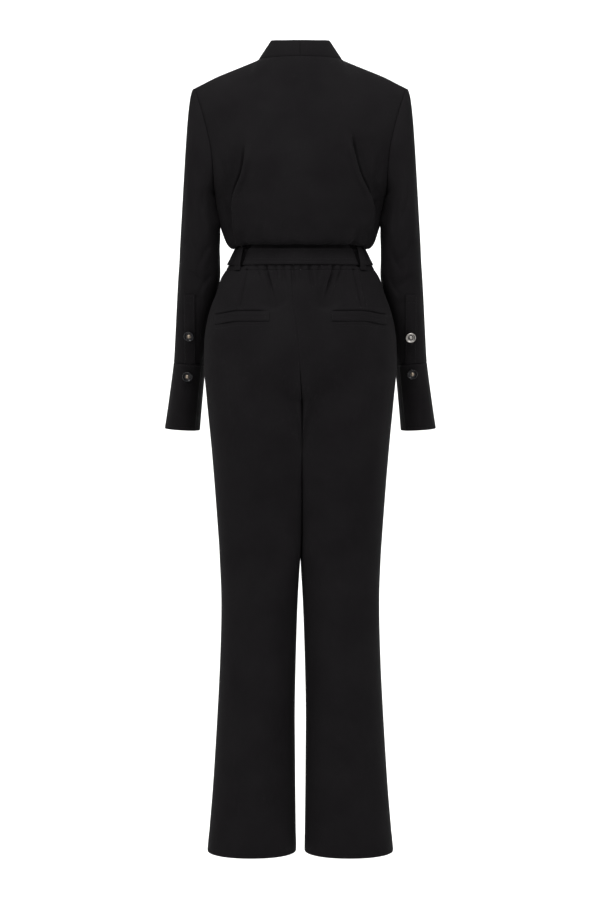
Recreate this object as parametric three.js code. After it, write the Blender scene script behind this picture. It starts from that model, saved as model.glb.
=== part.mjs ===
import * as THREE from 'three';

// A woman's long jumpsuit, filled out as if worn, in millimetres.
// Z is up, the front faces -Y and the wearer's left is +X.
// The origin lies midway between the two neck ends of the shoulder seams, where the shoulders carry it.

// Driving sizes
const wall = 1.8;              // cloth of a main panel with its seam allowances
const thinWall = 1.5;          // welts, plackets and belt loops
const halfGap = 0.15;          // half of the space kept between pieces at a seam
const hemZ = -1469.5;
const waistSeamZ = -343.6;     // waistband's top, under the bloused bodice
const bandSeamZ = -389.3;      // waistband's bottom, where the trousers start
const crotchZ = -628;
const riseStartZ = -545;       // the seat seam starts to turn under here
const neckHalf = 77;           // half width of the neck at the shoulder seams
const neckZ = -5;
const neckBack = 62;
const neckBackZ = -3;
const tipX = 194;              // shoulder tip
const tipZ = -56.5;
const underarmZ = -263;
const squareness = 0.93;       // 1 is an ellipse, less is squarer
const pressedSquareness = 0.27; // same, at the inside of the thighs
const beltTopZ = -349.6;
const beltBottomZ = -379.4;
const beltThick = 2.2;
const beltStand = 1.5;         // belt's inner face above the waistband
const cuffTopZ = -563;
const cuffBottomZ = -688;
const buttonRadius = 10;
const buttonThick = 3.6;
const placketStand = 0.9;      // placket's inner face off the sleeve

const clamp = THREE.MathUtils.clamp;
const lerp = THREE.MathUtils.lerp;
const rad = THREE.MathUtils.degToRad;

// Smooth step from 0 to 1 between two values
function ease(from, to, value) {
  const t = clamp((value - from) / (to - from), 0, 1);
  return t * t * (3 - 2 * t);
}

// A smooth reading of one named column of a table, by another column
function reader(rows, key) {
  const last = rows.length - 1;
  const slope = (column, i) => {
    const a = rows[Math.max(i - 1, 0)];
    const b = rows[Math.min(i + 1, last)];
    return (b[column] - a[column]) / (b[key] - a[key]);
  };
  const rising = rows[last][key] > rows[0][key];
  return (at, column) => {
    const low = rising ? rows[0][key] : rows[last][key];
    const high = rising ? rows[last][key] : rows[0][key];
    const value = clamp(at, low, high);
    let i = 0;
    while (i < last - 1 && (rising ? value > rows[i + 1][key] : value < rows[i + 1][key])) i += 1;
    const span = rows[i + 1][key] - rows[i][key];
    const t = (value - rows[i][key]) / span;
    const p0 = rows[i][column];
    const p1 = rows[i + 1][column];
    const m0 = slope(column, i) * span;
    const m1 = slope(column, i + 1) * span;
    const t2 = t * t;
    const t3 = t2 * t;
    return (2 * t3 - 3 * t2 + 1) * p0 + (t3 - 2 * t2 + t) * m0 + (3 * t2 - 2 * t3) * p1 + (t3 - t2) * m1;
  };
}

// Bodice rings from the waist seam, turned under, up to the underarm
const bodiceRows = [
  { v: 0.00, z: -343.4, side: 116.0, back: 84.4, front: 84.4 },
  { v: 0.04, z: -345.2, side: 121.5, back: 91.5, front: 90.0 },
  { v: 0.08, z: -345.0, side: 126.5, back: 98.5, front: 96.0 },
  { v: 0.12, z: -341.5, side: 131.5, back: 103.5, front: 100.5 },
  { v: 0.18, z: -334.0, side: 136.6, back: 106.5, front: 103.5 },
  { v: 0.28, z: -321.0, side: 142.0, back: 108.8, front: 107.0 },
  { v: 0.42, z: -306.0, side: 147.2, back: 111.5, front: 112.0 },
  { v: 0.60, z: -290.0, side: 150.6, back: 114.0, front: 117.0 },
  { v: 0.80, z: -275.0, side: 154.4, back: 116.0, front: 120.0 },
  { v: 1.00, z: -263.0, side: 157.3, back: 117.0, front: 121.5 },
];
const bodice = reader(bodiceRows, 'v');

// Middle line of back and front above the underarm, by the share of the way up
const upperRows = [
  { q: 0.00, backY: 117, backZ: -263, frontY: -121.5, spread: 90 },
  { q: 0.25, backY: 117, backZ: -200, frontY: -118, spread: 72 },
  { q: 0.50, backY: 109, backZ: -135, frontY: -106, spread: 64 },
  { q: 0.70, backY: 96, backZ: -83, frontY: -89, spread: 64 },
  { q: 0.85, backY: 81, backZ: -42, frontY: -74, spread: 68 },
  { q: 0.95, backY: 68, backZ: -14, frontY: -64, spread: 72 },
  { q: 1.00, backY: neckBack, backZ: neckBackZ, frontY: -58, spread: 75 },
];
const upper = reader(upperRows, 'q');

// Armhole of the left side, by the turn round it: 0 at the shoulder tip, 90 at the back
const armholeRows = [
  { turn: -50, x: 178, y: -41, z: -98 },
  { turn: -25, x: 189.5, y: -20, z: -69 },
  { turn: 0, x: tipX, y: 0, z: tipZ },
  { turn: 25, x: 189.5, y: 18, z: -69 },
  { turn: 50, x: 180, y: 37, z: -98 },
  { turn: 75, x: 170, y: 51, z: -134 },
  { turn: 100, x: 162, y: 59, z: -172 },
  { turn: 125, x: 158.4, y: 55, z: -212 },
  { turn: 150, x: 157.4, y: 36, z: -244 },
  { turn: 180, x: 157.3, y: 0, z: underarmZ },
  { turn: 210, x: 157.4, y: -38, z: -244 },
  { turn: 235, x: 158.6, y: -58, z: -212 },
  { turn: 260, x: 160.5, y: -63, z: -172 },
  { turn: 285, x: 167, y: -56, z: -134 },
  { turn: 310, x: 178, y: -41, z: -98 },
  { turn: 335, x: 189.5, y: -20, z: -69 },
  { turn: 360, x: tipX, y: 0, z: tipZ },
  { turn: 385, x: 189.5, y: 18, z: -69 },
];
const armhole = reader(armholeRows, 'turn');

// Sleeve and cuff rings: middle, half width across and half depth from front to back
const sleeveRows = [
  { z: -285, x: 186.4, y: -4, across: 31.6, deep: 59 },
  { z: -315, x: 184.4, y: -8, across: 35.6, deep: 60 },
  { z: -345, x: 185.4, y: -13, across: 36.6, deep: 59 },
  { z: -374, x: 186.7, y: -20, across: 37.0, deep: 58 },
  { z: -404, x: 188.9, y: -29, across: 37.4, deep: 57 },
  { z: -450, x: 194.0, y: -43, across: 35.6, deep: 55 },
  { z: -500, x: 200.0, y: -60, across: 33.0, deep: 52.5 },
  { z: -545, x: 205.2, y: -74, across: 30.9, deep: 50 },
  { z: -565, x: 207.8, y: -80, across: 30.2, deep: 49 },
  { z: -595, x: 211.6, y: -88, across: 30.6, deep: 49 },
  { z: -625, x: 215.4, y: -96, across: 31.3, deep: 49.2 },
  { z: -654, x: 219.1, y: -103, across: 32.1, deep: 49.8 },
  { z: -690, x: 223.6, y: -110, across: 33.4, deep: 50.5 },
];
const sleeve = reader(sleeveRows, 'z');

// Waistband, hip and seat rings
const hipRows = [
  { z: -343, side: 115.4, back: 84.0, front: 84.0 },
  { z: -350, side: 117.0, back: 84.8, front: 84.8 },
  { z: -360, side: 121.6, back: 86.6, front: 86.0 },
  { z: -374, side: 128.6, back: 89.0, front: 87.0 },
  { z: -389, side: 136.8, back: 92.5, front: 88.5 },
  { z: -404, side: 145.8, back: 98.0, front: 92.0 },
  { z: -431, side: 154.6, back: 108.0, front: 98.0 },
  { z: -455, side: 163.8, back: 115.0, front: 101.5 },
  { z: -481, side: 171.2, back: 120.5, front: 103.5 },
  { z: -512, side: 176.4, back: 124.5, front: 104.5 },
  { z: -536, side: 177.6, back: 126.5, front: 105.0 },
  { z: -562, side: 178.0, back: 127.0, front: 105.0 },
  { z: -595, side: 175.9, back: 125.0, front: 104.0 },
  { z: -625, side: 172.8, back: 121.0, front: 102.0 },
  { z: -700, side: 166.0, back: 112.0, front: 96.0 },
];
const hip = reader(hipRows, 'z');

// Trouser leg rings: outer and inner side, depth of back and front from the side seams' plane
const legRows = [
  { z: -500, outer: 174.0, inner: 0.6, back: 122.0, front: 104.0 },
  { z: -560, outer: 178.0, inner: 0.6, back: 123.0, front: 102.0 },
  { z: -625, outer: 172.8, inner: 0.6, back: 117.0, front: 98.0 },
  { z: -684, outer: 167.1, inner: 0.6, back: 108.0, front: 91.0 },
  { z: -758, outer: 160.7, inner: 0.6, back: 97.0, front: 82.0 },
  { z: -832, outer: 155.1, inner: 0.6, back: 87.0, front: 74.0 },
  { z: -907, outer: 149.9, inner: 0.6, back: 80.0, front: 69.0 },
  { z: -944, outer: 148.1, inner: 1.9, back: 77.5, front: 67.0 },
  { z: -981, outer: 146.8, inner: 3.7, back: 75.5, front: 65.5 },
  { z: -1019, outer: 146.7, inner: 5.4, back: 74.5, front: 64.5 },
  { z: -1056, outer: 147.3, inner: 6.7, back: 75.0, front: 63.8 },
  { z: -1131, outer: 150.0, inner: 8.8, back: 77.5, front: 63.5 },
  { z: -1206, outer: 154.0, inner: 10.1, back: 79.0, front: 64.0 },
  { z: -1281, outer: 158.5, inner: 9.7, back: 79.5, front: 65.0 },
  { z: -1357, outer: 163.7, inner: 9.1, back: 78.5, front: 67.0 },
  { z: -1432, outer: 170.1, inner: 8.2, back: 76.5, front: 69.5 },
  { z: -1470, outer: 173.6, inner: 7.7, back: 75.0, front: 71.0 },
];
const leg = reader(legRows, 'z');

// Middle seam of the seat, which wanders a little from the middle
const seatSeam = reader([
  { z: -389, x: 13.6 },
  { z: -455, x: 10.4 },
  { z: -490, x: 5.6 },
  { z: -560, x: 0.4 },
  { z: -700, x: 0.0 },
], 'z');

// The two long drape folds of the back bodice, each a soft step in the cloth
const backFolds = [
  { side: 1, top: -150, bottom: -338, depth: 4.6 },
  { side: -1, top: -146, bottom: -318, depth: 4.2 },
];
const foldLine = reader([
  { z: -345, left: 118, right: 134 },
  { z: -300, left: 123, right: 136 },
  { z: -265, left: 124, right: 130 },
  { z: -245, left: 119, right: 122 },
  { z: -215, left: 107, right: 108 },
  { z: -175, left: 100, right: 97 },
  { z: -140, left: 98, right: 90 },
], 'z');

// Gathers below the elastic of the back waist: a trough each, wandering from top to foot
const gathers = [
  { top: 62, foot: 51, length: 46, depth: 2.2 },
  { top: 46, foot: 42, length: 22, depth: 1.3 },
  { top: 30, foot: 29, length: 34, depth: 1.8 },
  { top: 13, foot: 13, length: 40, depth: 1.7 },
  { top: -2, foot: -1, length: 36, depth: 1.6 },
  { top: -18, foot: -16, length: 44, depth: 1.9 },
  { top: -31, foot: -30, length: 30, depth: 1.6 },
  { top: -59, foot: -48, length: 46, depth: 2.2 },
  { top: -74, foot: -68, length: 20, depth: 1.2 },
  { top: 78, foot: 72, length: 18, depth: 1.1 },
];

// Back darts from the waistband down
const darts = [
  { top: 99, foot: 108 },
  { top: -99, foot: -108 },
];
const dartFootZ = -456;

const quarter = Math.PI / 2;
const rounded = (value) => Math.sign(value) * Math.abs(value) ** squareness;

// A point of a ring of the body, by the angle from the back middle towards +X
function ringPoint(half, back, front, angle, z) {
  const x = half * rounded(Math.sin(angle));
  const y = Math.cos(angle) >= 0
    ? back * rounded(Math.cos(angle))
    : front * rounded(Math.cos(angle));
  return new THREE.Vector3(x, y, z);
}

const trough = (distance, width) => Math.exp(-((distance / width) ** 2));

// How far the gathers and darts move the cloth of the back waist outwards
function waistRelief(x, z) {
  let move = 0;
  const below = bandSeamZ - z;
  for (const fold of gathers) {
    const down = clamp(below / fold.length, -1, 1);
    const x0 = lerp(fold.top, fold.foot, clamp(down, 0, 1));
    const fade = below < 0 ? trough(below, 9) : 1 - ease(0.35, 1, down);
    move -= fold.depth * fade * trough(x - x0, 4.2);
    move += 0.35 * fold.depth * fade * trough(x - x0 - 8, 4);
  }
  for (const dart of darts) {
    const x0 = lerp(dart.top, dart.foot, clamp(below / (bandSeamZ - dartFootZ), 0, 1));
    const fade = ease(dartFootZ - 4, dartFootZ + 18, z) * ease(-4, 2, below);
    move -= 1.1 * fade * trough(x - x0, 3.2);
  }
  return move;
}

// How far the drape folds move the back bodice outwards
function backRelief(x, z) {
  let move = 0;
  for (const fold of backFolds) {
    const line = foldLine(z, fold.side > 0 ? 'left' : 'right');
    const fade = ease(fold.bottom - 8, fold.bottom + 22, z) * (1 - ease(fold.top - 18, fold.top + 12, z));
    const past = (fold.side * x - line) / 7;
    move += fade * fold.depth * (trough(past + 1.4, 1.5) - 0.85 * trough(past - 0.9, 1.2));
  }
  return move;
}

// Moves a point of a ring straight out from the body's axis
function pushOut(point, move) {
  const reach = Math.hypot(point.x, point.y);
  point.x += (point.x / reach) * move;
  point.y += (point.y / reach) * move;
  return point;
}

// Back bodice: across runs from -1 at the right to 1 at the left, up from 0 at the waist to 1
const bodiceSplit = 0.42;      // share of a panel's height below the underarm

function lowerBodice(angle, v) {
  const z = bodice(v, 'z');
  const point = ringPoint(bodice(v, 'side'), bodice(v, 'back'), bodice(v, 'front'), angle, z);
  return Math.cos(angle) > 0 ? pushOut(point, backRelief(point.x, z)) : point;
}

// Top edge of the back: neck curve, then shoulder seam, as shares of the way to the shoulder tip
const neckShare = 5 / 12;

function topShares(u) {
  if (u < neckShare) {
    const t = (u / neckShare) * quarter;
    return { x: (neckHalf * Math.sin(t)) / tipX, y: 1 - Math.cos(t), z: (0.037 * u) / neckShare };
  }
  const t = (u - neckShare) / (1 - neckShare);
  return { x: lerp(neckHalf / tipX, 1, t), y: 1, z: lerp(0.037, 1, t) };
}

const roofLift = 4;

function roofShare(q) {
  return clamp((q - 0.6) / 0.4, 0, 1) ** 2.3;
}

function upperBack(across, q) {
  const u = Math.abs(across);
  const turn = 180 * (1 - q);
  const spread = rad(upper(q, 'spread'));
  const endX = armhole(turn, 'x');
  const endY = armhole(turn, 'y');
  const endZ = armhole(turn, 'z');
  const midY = upper(q, 'backY');
  const midZ = upper(q, 'backZ');
  const roof = roofShare(q);
  const top = topShares(u);
  const shareX = lerp(rounded(Math.sin(spread * u)) / rounded(Math.sin(spread)), top.x, roof);
  const low = rounded(Math.cos(spread));
  const shareY = lerp((1 - rounded(Math.cos(spread * u))) / (1 - low), top.y, roof);
  const shareZ = lerp(u ** 2.2, top.z, roof);
  const lift = roofLift * 4 * roof * (1 - roof) * ease(0.1, 0.5, u) * (1 - ease(0.75, 1, u));
  const z = lerp(midZ, endZ, shareZ) + lift;
  const point = new THREE.Vector3(endX * shareX, lerp(midY, endY, shareY), z);
  point.x *= Math.sign(across) || 1;
  point.y += backRelief(point.x, z) * 0.9 * (1 - ease(0.85, 1, u));
  return point;
}

function backBodicePoint(u, v) {
  const across = u * 2 - 1;
  const point = v < bodiceSplit
    ? lowerBodice(across * quarter, v / bodiceSplit)
    : upperBack(across, (v - bodiceSplit) / (1 - bodiceSplit));
  point.y += halfGap;
  return point;
}

// Neck edge of the front: from the middle at the underarm's level up to the shoulder seam
const neckEdgeX = (q) => neckHalf * clamp(q, 0, 1) ** 1.04;
const neckEdgeZ = (q) => lerp(underarmZ, neckZ, q);

function upperFront(u, q) {
  const turn = 180 + 180 * q;
  const spread = rad(upper(q, 'spread'));
  const endX = armhole(turn, 'x');
  const endY = armhole(turn, 'y');
  const endZ = armhole(turn, 'z');
  const midY = upper(q, 'frontY');
  const roof = roofShare(q);
  const startX = neckEdgeX(q);
  const start = Math.asin(clamp((startX / endX) ** (1 / squareness) * Math.sin(spread), 0, 1));
  const angle = lerp(start, spread, u);
  const low = rounded(Math.cos(spread));
  const arcX = (endX * rounded(Math.sin(angle))) / rounded(Math.sin(spread));
  const arcY = lerp(endY, midY, (rounded(Math.cos(angle)) - low) / (1 - low));
  const x = lerp(arcX, lerp(startX, endX, u), roof);
  const y = lerp(arcY, endY * clamp(u, 0, 1) ** 2, roof);
  const lift = roofLift * 4 * roof * (1 - roof) * Math.sin(Math.PI * clamp(u, 0, 1)) ** 2;
  const z = lerp(neckEdgeZ(q), endZ, lerp(clamp(u, 0, 1) ** 1.7, u, roof)) + lift;
  return new THREE.Vector3(x, y, z);
}

// Front bodice of one side: from the front middle or neck edge out to side seam and armhole
function frontBodicePoint(side, u, v) {
  const point = v < bodiceSplit
    ? lowerBodice(Math.PI - u * quarter, v / bodiceSplit)
    : upperFront(u, (v - bodiceSplit) / (1 - bodiceSplit));
  point.x = side * (point.x + halfGap * (1 - u));
  point.y -= halfGap;
  return point;
}

// Sleeve ring by the turn round it: 0 outside, 90 at the back, 180 inside
function sleeveRing(turn, z) {
  const angle = rad(turn);
  return new THREE.Vector3(
    sleeve(z, 'x') + sleeve(z, 'across') * rounded(Math.cos(angle)),
    sleeve(z, 'y') + sleeve(z, 'deep') * rounded(Math.sin(angle)),
    z,
  );
}

// The lower rings of the sleeve lean with the forearm: their inner side hangs lower
function tilted(point, z) {
  point.z += 0.06 * ease(-420, -560, z) * (point.x - sleeve(z, 'x'));
  return point;
}

// How the sleeve head leaves the armhole, by the turn: direction and reach of the cloth
const headRows = [
  { turn: -60, x: 0.86, y: 0.02, z: -0.3, reach: 22, fall: 60 },
  { turn: 0, x: 1.0, y: 0.0, z: -0.12, reach: 11, fall: 165 },
  { turn: 60, x: 0.9, y: 0.0, z: -0.22, reach: 22, fall: 80 },
  { turn: 105, x: 0.8, y: 0.12, z: -0.5, reach: 24, fall: 45 },
  { turn: 145, x: 0.5, y: 0.12, z: -0.8, reach: 16, fall: 18 },
  { turn: 180, x: 0.16, y: 0.0, z: -1.0, reach: 8, fall: 8 },
  { turn: 215, x: 0.5, y: -0.12, z: -0.8, reach: 16, fall: 18 },
  { turn: 255, x: 0.8, y: -0.08, z: -0.5, reach: 24, fall: 45 },
  { turn: 300, x: 0.86, y: 0.02, z: -0.3, reach: 22, fall: 60 },
  { turn: 360, x: 1.0, y: 0.0, z: -0.12, reach: 11, fall: 165 },
  { turn: 420, x: 0.9, y: 0.0, z: -0.22, reach: 22, fall: 80 },
];
const head = reader(headRows, 'turn');
const headFootZ = -285;
const headSplit = 0.4;

function sleeveHead(turn, t) {
  const start = new THREE.Vector3(armhole(turn, 'x'), armhole(turn, 'y'), armhole(turn, 'z'));
  const leave = new THREE.Vector3(head(turn, 'x'), head(turn, 'y'), head(turn, 'z')).normalize();
  start.addScaledVector(leave, halfGap * 2.6);
  const end = sleeveRing(turn, headFootZ);
  const first = start.clone().addScaledVector(leave, head(turn, 'reach'));
  const below = sleeveRing(turn, headFootZ - 10);
  const second = end.clone().addScaledVector(end.clone().sub(below).normalize(), head(turn, 'fall'));
  return new THREE.CubicBezierCurve3(start, first, second, end).getPoint(t);
}

function sleevePoint(side, turn, v) {
  let point;
  if (v < headSplit) {
    point = sleeveHead(turn, v / headSplit);
  } else {
    const z = lerp(headFootZ, cuffTopZ, (v - headSplit) / (1 - headSplit));
    point = tilted(sleeveRing(turn, z), z);
  }
  point.x *= side;
  return point;
}

function cuffPoint(side, turn, z, out) {
  const point = sleeveRing(turn, z);
  const away = new THREE.Vector3(point.x - sleeve(z, 'x'), point.y - sleeve(z, 'y'), 0).normalize();
  point.addScaledVector(away, out);
  tilted(point, z);
  point.x *= side;
  return point;
}

// Trouser panel of one side and face: u from the side seam to the middle seam and inseam
function hipPoint(side, face, u, z) {
  const seam = face > 0 ? seatSeam(z, 'x') : 0;
  const half = hip(z, 'side');
  const mid = Math.asin(clamp(seam / half, -1, 1));
  const angle = side > 0 ? lerp(quarter, mid, u) : lerp(-quarter, mid, u);
  const x = half * rounded(Math.sin(angle));
  const y = face * hip(z, face > 0 ? 'back' : 'front') * rounded(Math.cos(angle));
  return new THREE.Vector3(x, y, z);
}

// Ring of one leg: its inner half is squarer where the two legs lie against each other
function legPoint(side, face, u, z) {
  const outer = leg(z, 'outer');
  const inner = leg(z, 'inner');
  const middle = (outer + inner) / 2;
  const half = (outer - inner) / 2;
  const press = ease(0.5, 0.95, u) * ease(-1060, -800, z);
  const power = lerp(squareness, pressedSquareness, press);
  const turn = Math.cos(u * Math.PI);
  const x = middle + half * Math.sign(turn) * Math.abs(turn) ** power;
  const y = face * leg(z, face > 0 ? 'back' : 'front') * Math.max(Math.sin(u * Math.PI), 0) ** power;
  return new THREE.Vector3(side * x, y, z);
}

function trouserPoint(side, face, u, z) {
  const fall = clamp((riseStartZ - z) / (riseStartZ - crotchZ), 0, 1);
  const atSeam = fall ** 4;
  const atSide = ease(-515, -700, z);
  const share = lerp(atSide, atSeam, clamp(u, 0, 1) ** 3);
  const drop = (Math.sin(fall * quarter) - fall) * (riseStartZ - crotchZ);
  const point = hipPoint(side, face, u, z).lerp(legPoint(side, face, u, z), share);
  point.z -= drop * clamp(u, 0, 1) ** 2;
  if (face > 0 && z > -470) pushOut(point, waistRelief(point.x, z));
  point.x += side * halfGap;
  point.y += face * halfGap;
  return point;
}

// Closed wall between an outer and an inner grid of points, faces out
function wallGeometry(outer, inner, closed) {
  const rows = outer.length;
  const columns = outer[0].length;
  const positions = [];
  for (const grid of [outer, inner]) {
    for (const row of grid) {
      for (const p of row) positions.push(p.x, p.y, p.z);
    }
  }
  const at = (layer, i, j) => layer * rows * columns + i * columns + (j % columns);
  const index = [];
  const quad = (a, b, c, d) => index.push(a, b, c, a, c, d);
  const spans = closed ? columns : columns - 1;
  for (let i = 0; i < rows - 1; i += 1) {
    for (let j = 0; j < spans; j += 1) {
      quad(at(0, i, j), at(0, i, j + 1), at(0, i + 1, j + 1), at(0, i + 1, j));
      quad(at(1, i, j), at(1, i + 1, j), at(1, i + 1, j + 1), at(1, i, j + 1));
    }
  }
  for (let j = 0; j < spans; j += 1) {
    quad(at(0, 0, j), at(1, 0, j), at(1, 0, j + 1), at(0, 0, j + 1));
    quad(at(0, rows - 1, j), at(0, rows - 1, j + 1), at(1, rows - 1, j + 1), at(1, rows - 1, j));
  }
  if (!closed) {
    for (let i = 0; i < rows - 1; i += 1) {
      quad(at(0, i, 0), at(0, i + 1, 0), at(1, i + 1, 0), at(1, i, 0));
      quad(at(0, i, columns - 1), at(1, i, columns - 1), at(1, i + 1, columns - 1), at(0, i + 1, columns - 1));
    }
  }
  const geometry = new THREE.BufferGeometry();
  geometry.setAttribute('position', new THREE.Float32BufferAttribute(positions, 3));
  geometry.setIndex(index);
  return geometry;
}

// Signed volume, to turn a wall the right way out
function volumeOf(geometry) {
  const p = geometry.attributes.position;
  const index = geometry.index.array;
  const a = new THREE.Vector3();
  const b = new THREE.Vector3();
  const c = new THREE.Vector3();
  let sum = 0;
  for (let i = 0; i < index.length; i += 3) {
    a.fromBufferAttribute(p, index[i]);
    b.fromBufferAttribute(p, index[i + 1]);
    c.fromBufferAttribute(p, index[i + 2]);
    sum += a.dot(b.cross(c));
  }
  return sum / 6;
}

function turnedOut(geometry) {
  if (volumeOf(geometry) < 0) {
    const index = geometry.index.array;
    for (let i = 0; i < index.length; i += 3) {
      [index[i + 1], index[i + 2]] = [index[i + 2], index[i + 1]];
    }
  }
  geometry.computeVertexNormals();
  return geometry;
}

// Cloth wall on a surface: u across, v along, thickness inwards; outward tells the outer side
function clothWall({ pointAt, across, along, thick, outward, closed = false, keep = null }) {
  const step = 0.0015;
  const [lowV, highV] = [Math.min(...along), Math.max(...along)];
  const outer = [];
  const inner = [];
  for (const v of along) {
    const outerRow = [];
    const innerRow = [];
    for (const u of across) {
      const p = pointAt(u, v);
      const v0 = Math.max(v - step, lowV);
      const v1 = Math.min(v + step, highV);
      const u0 = closed ? u - step : Math.max(u - step, across[0]);
      const u1 = closed ? u + step : Math.min(u + step, across[across.length - 1]);
      const du = pointAt(u1, v).sub(pointAt(u0, v));
      const dv = pointAt(u, v1).sub(pointAt(u, v0));
      const normal = du.cross(dv).normalize().multiplyScalar(outward);
      const q = p.clone().addScaledVector(normal, -thick);
      outerRow.push(p);
      innerRow.push(keep ? keep(q, p, u, v) : q);
    }
    outer.push(outerRow);
    inner.push(innerRow);
  }
  return turnedOut(wallGeometry(outer, inner, closed));
}

// Even shares from one value to another
function shares(count, from = 0, to = 1) {
  return Array.from({ length: count + 1 }, (_, i) => lerp(from, to, i / count));
}

const black = 0x1d1c1d;
const jumpsuit = new THREE.Group();
jumpsuit.name = 'jumpsuit';

function addMesh(name, geometry, color = black, roughness = 0.82, metalness = 0) {
  const material = new THREE.MeshStandardMaterial({ color, roughness, metalness });
  const mesh = new THREE.Mesh(geometry, material);
  mesh.name = name;
  jumpsuit.add(mesh);
  return mesh;
}

// Rows of the bodice: close together where the cloth turns under and over the shoulder
const upperShares = [0, 0.12, 0.25, 0.37, 0.5, 0.6, 0.7, 0.79, 0.87, 0.94, 1];
const bodiceAlong = [
  0, 0.04, 0.08, 0.12, 0.18, 0.3, 0.5, 0.75,
].map((v) => v * bodiceSplit).concat(upperShares.map((q) => bodiceSplit + q * (1 - bodiceSplit)));

function addBackBodice() {
  addMesh('back_bodice', clothWall({
    pointAt: backBodicePoint,
    across: shares(24),
    along: bodiceAlong,
    thick: wall,
    outward: -1,
    keep: (q) => q.setY(Math.max(q.y, halfGap)),
  }));
}

function addFrontBodice(name, side) {
  const keep = (q) => {
    q.x = side * Math.max(side * q.x, halfGap);
    q.y = Math.min(q.y, -halfGap);
    return q;
  };
  addMesh(name, clothWall({
    pointAt: (u, v) => frontBodicePoint(side, u, v),
    across: shares(9),
    along: bodiceAlong,
    thick: wall,
    outward: side,
    keep,
  }));
}

// Neckband: how its free edge stands off the neck seam, by the way round from the back middle
const bandRows = [
  { s: 0.00, x: -2, y: -12, z: 26.5 },
  { s: 0.10, x: -10, y: -10, z: 27.5 },
  { s: 0.20, x: -18, y: -5, z: 30 },
  { s: 0.28, x: -23, y: 2, z: 31.5 },
  { s: 0.34, x: -25, y: 1, z: 30 },
  { s: 0.42, x: -25.5, y: -7, z: 20 },
  { s: 0.55, x: -25, y: -6, z: 9 },
  { s: 0.80, x: -24.8, y: -3, z: 7.4 },
  { s: 1.00, x: -24.8, y: -2, z: 7.4 },
];
const band = reader(bandRows, 's');
const bandTurn = 0.3;          // share of the neckband behind the shoulder seams

function neckSeam(s) {
  if (s < bandTurn) return upperBack((neckShare * s) / bandTurn, 1);
  return upperFront(0, 1 - (s - bandTurn) / (1 - bandTurn));
}

function collarPoint(side, s, t) {
  const seam = neckSeam(s);
  const rise = new THREE.Vector3(band(s, 'x'), band(s, 'y'), band(s, 'z'));
  const limit = seam.x / Math.abs(rise.x);
  const length = rise.length();
  const full = s > 0.5 ? Math.min(1, limit) : 1;
  const start = Math.min(0.3 / length, full * 0.5);
  const point = seam.addScaledVector(rise, lerp(start, full, t));
  const stand = 1 - ease(0.32, 0.5, s);
  point.y += stand * 1.5 * Math.sin(Math.PI * t) * (s < 0.2 ? 1 : 0.4);
  point.x = side * Math.max(point.x + halfGap, halfGap);
  return point;
}

function addCollar(name, side) {
  const keep = (q) => q.setX(side * Math.max(side * q.x, halfGap));
  const behind = shares(5, 0, bandTurn);
  const before = upperShares.slice(1, -1).reverse().map((q) => bandTurn + (1 - q) * (1 - bandTurn));
  const along = behind.concat(before, [0.965]);
  addMesh(name, clothWall({
    pointAt: (u, v) => collarPoint(side, v, u),
    across: shares(3),
    along,
    thick: 2,
    outward: side,
    keep,
  }));
}

function addSleeve(name, side) {
  const head = [0, 0.09, 0.2, 0.32, 0.46, 0.62, 0.8].map((v) => v * headSplit);
  const backTurns = upperShares.map((q) => (1 - q) / 2).reverse();
  const turns = backTurns.concat(upperShares.slice(1, -1).map((q) => (1 + q) / 2));
  const lower = shares(10).map((v) => headSplit + v * (1 - headSplit));
  addMesh(name, clothWall({
    pointAt: (u, v) => sleevePoint(side, u * 360, v),
    across: turns,
    along: head.concat(lower),
    thick: wall,
    outward: -side,
    closed: true,
  }));
}

// Cuff: a strip once round the wrist whose end laps over its start at the slit
const slitTurn = 138;          // slit in the back, near the inside
const lapTurn = 44;

function addCuff(name, side) {
  const pointAt = (u, v) => {
    const swept = u * (360 + lapTurn);
    const turn = slitTurn - lapTurn + swept - 360;
    const raise = (wall + 0.6) * ease(360 - 62, 360 - 14, swept);
    const z = lerp(cuffTopZ - halfGap * 2, cuffBottomZ, v);
    return cuffPoint(side, turn, z, raise);
  };
  addMesh(name, clothWall({
    pointAt,
    across: shares(34),
    along: shares(3),
    thick: wall,
    outward: -side,
  }));
}

// Placket: a strip laid along the back of the lower sleeve, above the slit
function addPlacket(name, side) {
  const pointAt = (u, v) => {
    const z = lerp(-434.5, cuffTopZ + 0.8, v);
    const x = lerp(193.5, 213.6, u) * (1 - (sleeve(z, 'y') + 45) / 4500);
    const reach = clamp((x - sleeve(z, 'x')) / sleeve(z, 'across'), -1, 1);
    const turn = THREE.MathUtils.radToDeg(Math.acos(Math.sign(reach) * Math.abs(reach) ** (1 / squareness)));
    return cuffPoint(side, turn, z, placketStand + thinWall);
  };
  addMesh(name, clothWall({
    pointAt,
    across: shares(3),
    along: shares(9),
    thick: thinWall,
    outward: side,
  }));
}

function waistPoint(angle, z, out) {
  const point = ringPoint(hip(z, 'side'), hip(z, 'back'), hip(z, 'front'), angle, z);
  if (Math.cos(angle) > 0) pushOut(point, waistRelief(point.x, z));
  return pushOut(point, out);
}

function addWaistband() {
  const opening = halfGap / 88;
  const pointAt = (u, v) => {
    const angle = lerp(-Math.PI + opening, Math.PI - opening, u);
    return waistPoint(angle, lerp(waistSeamZ - 0.3, bandSeamZ + 0.15, v), 0);
  };
  addMesh('waistband', clothWall({
    pointAt,
    across: shares(64),
    along: [0, 0.4, 0.8, 1],
    thick: wall,
    outward: 1,
    keep: (q, p, u, v) => (v === 1 ? q.setZ(Math.max(q.z, p.z)) : q),
  }));
}

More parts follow.
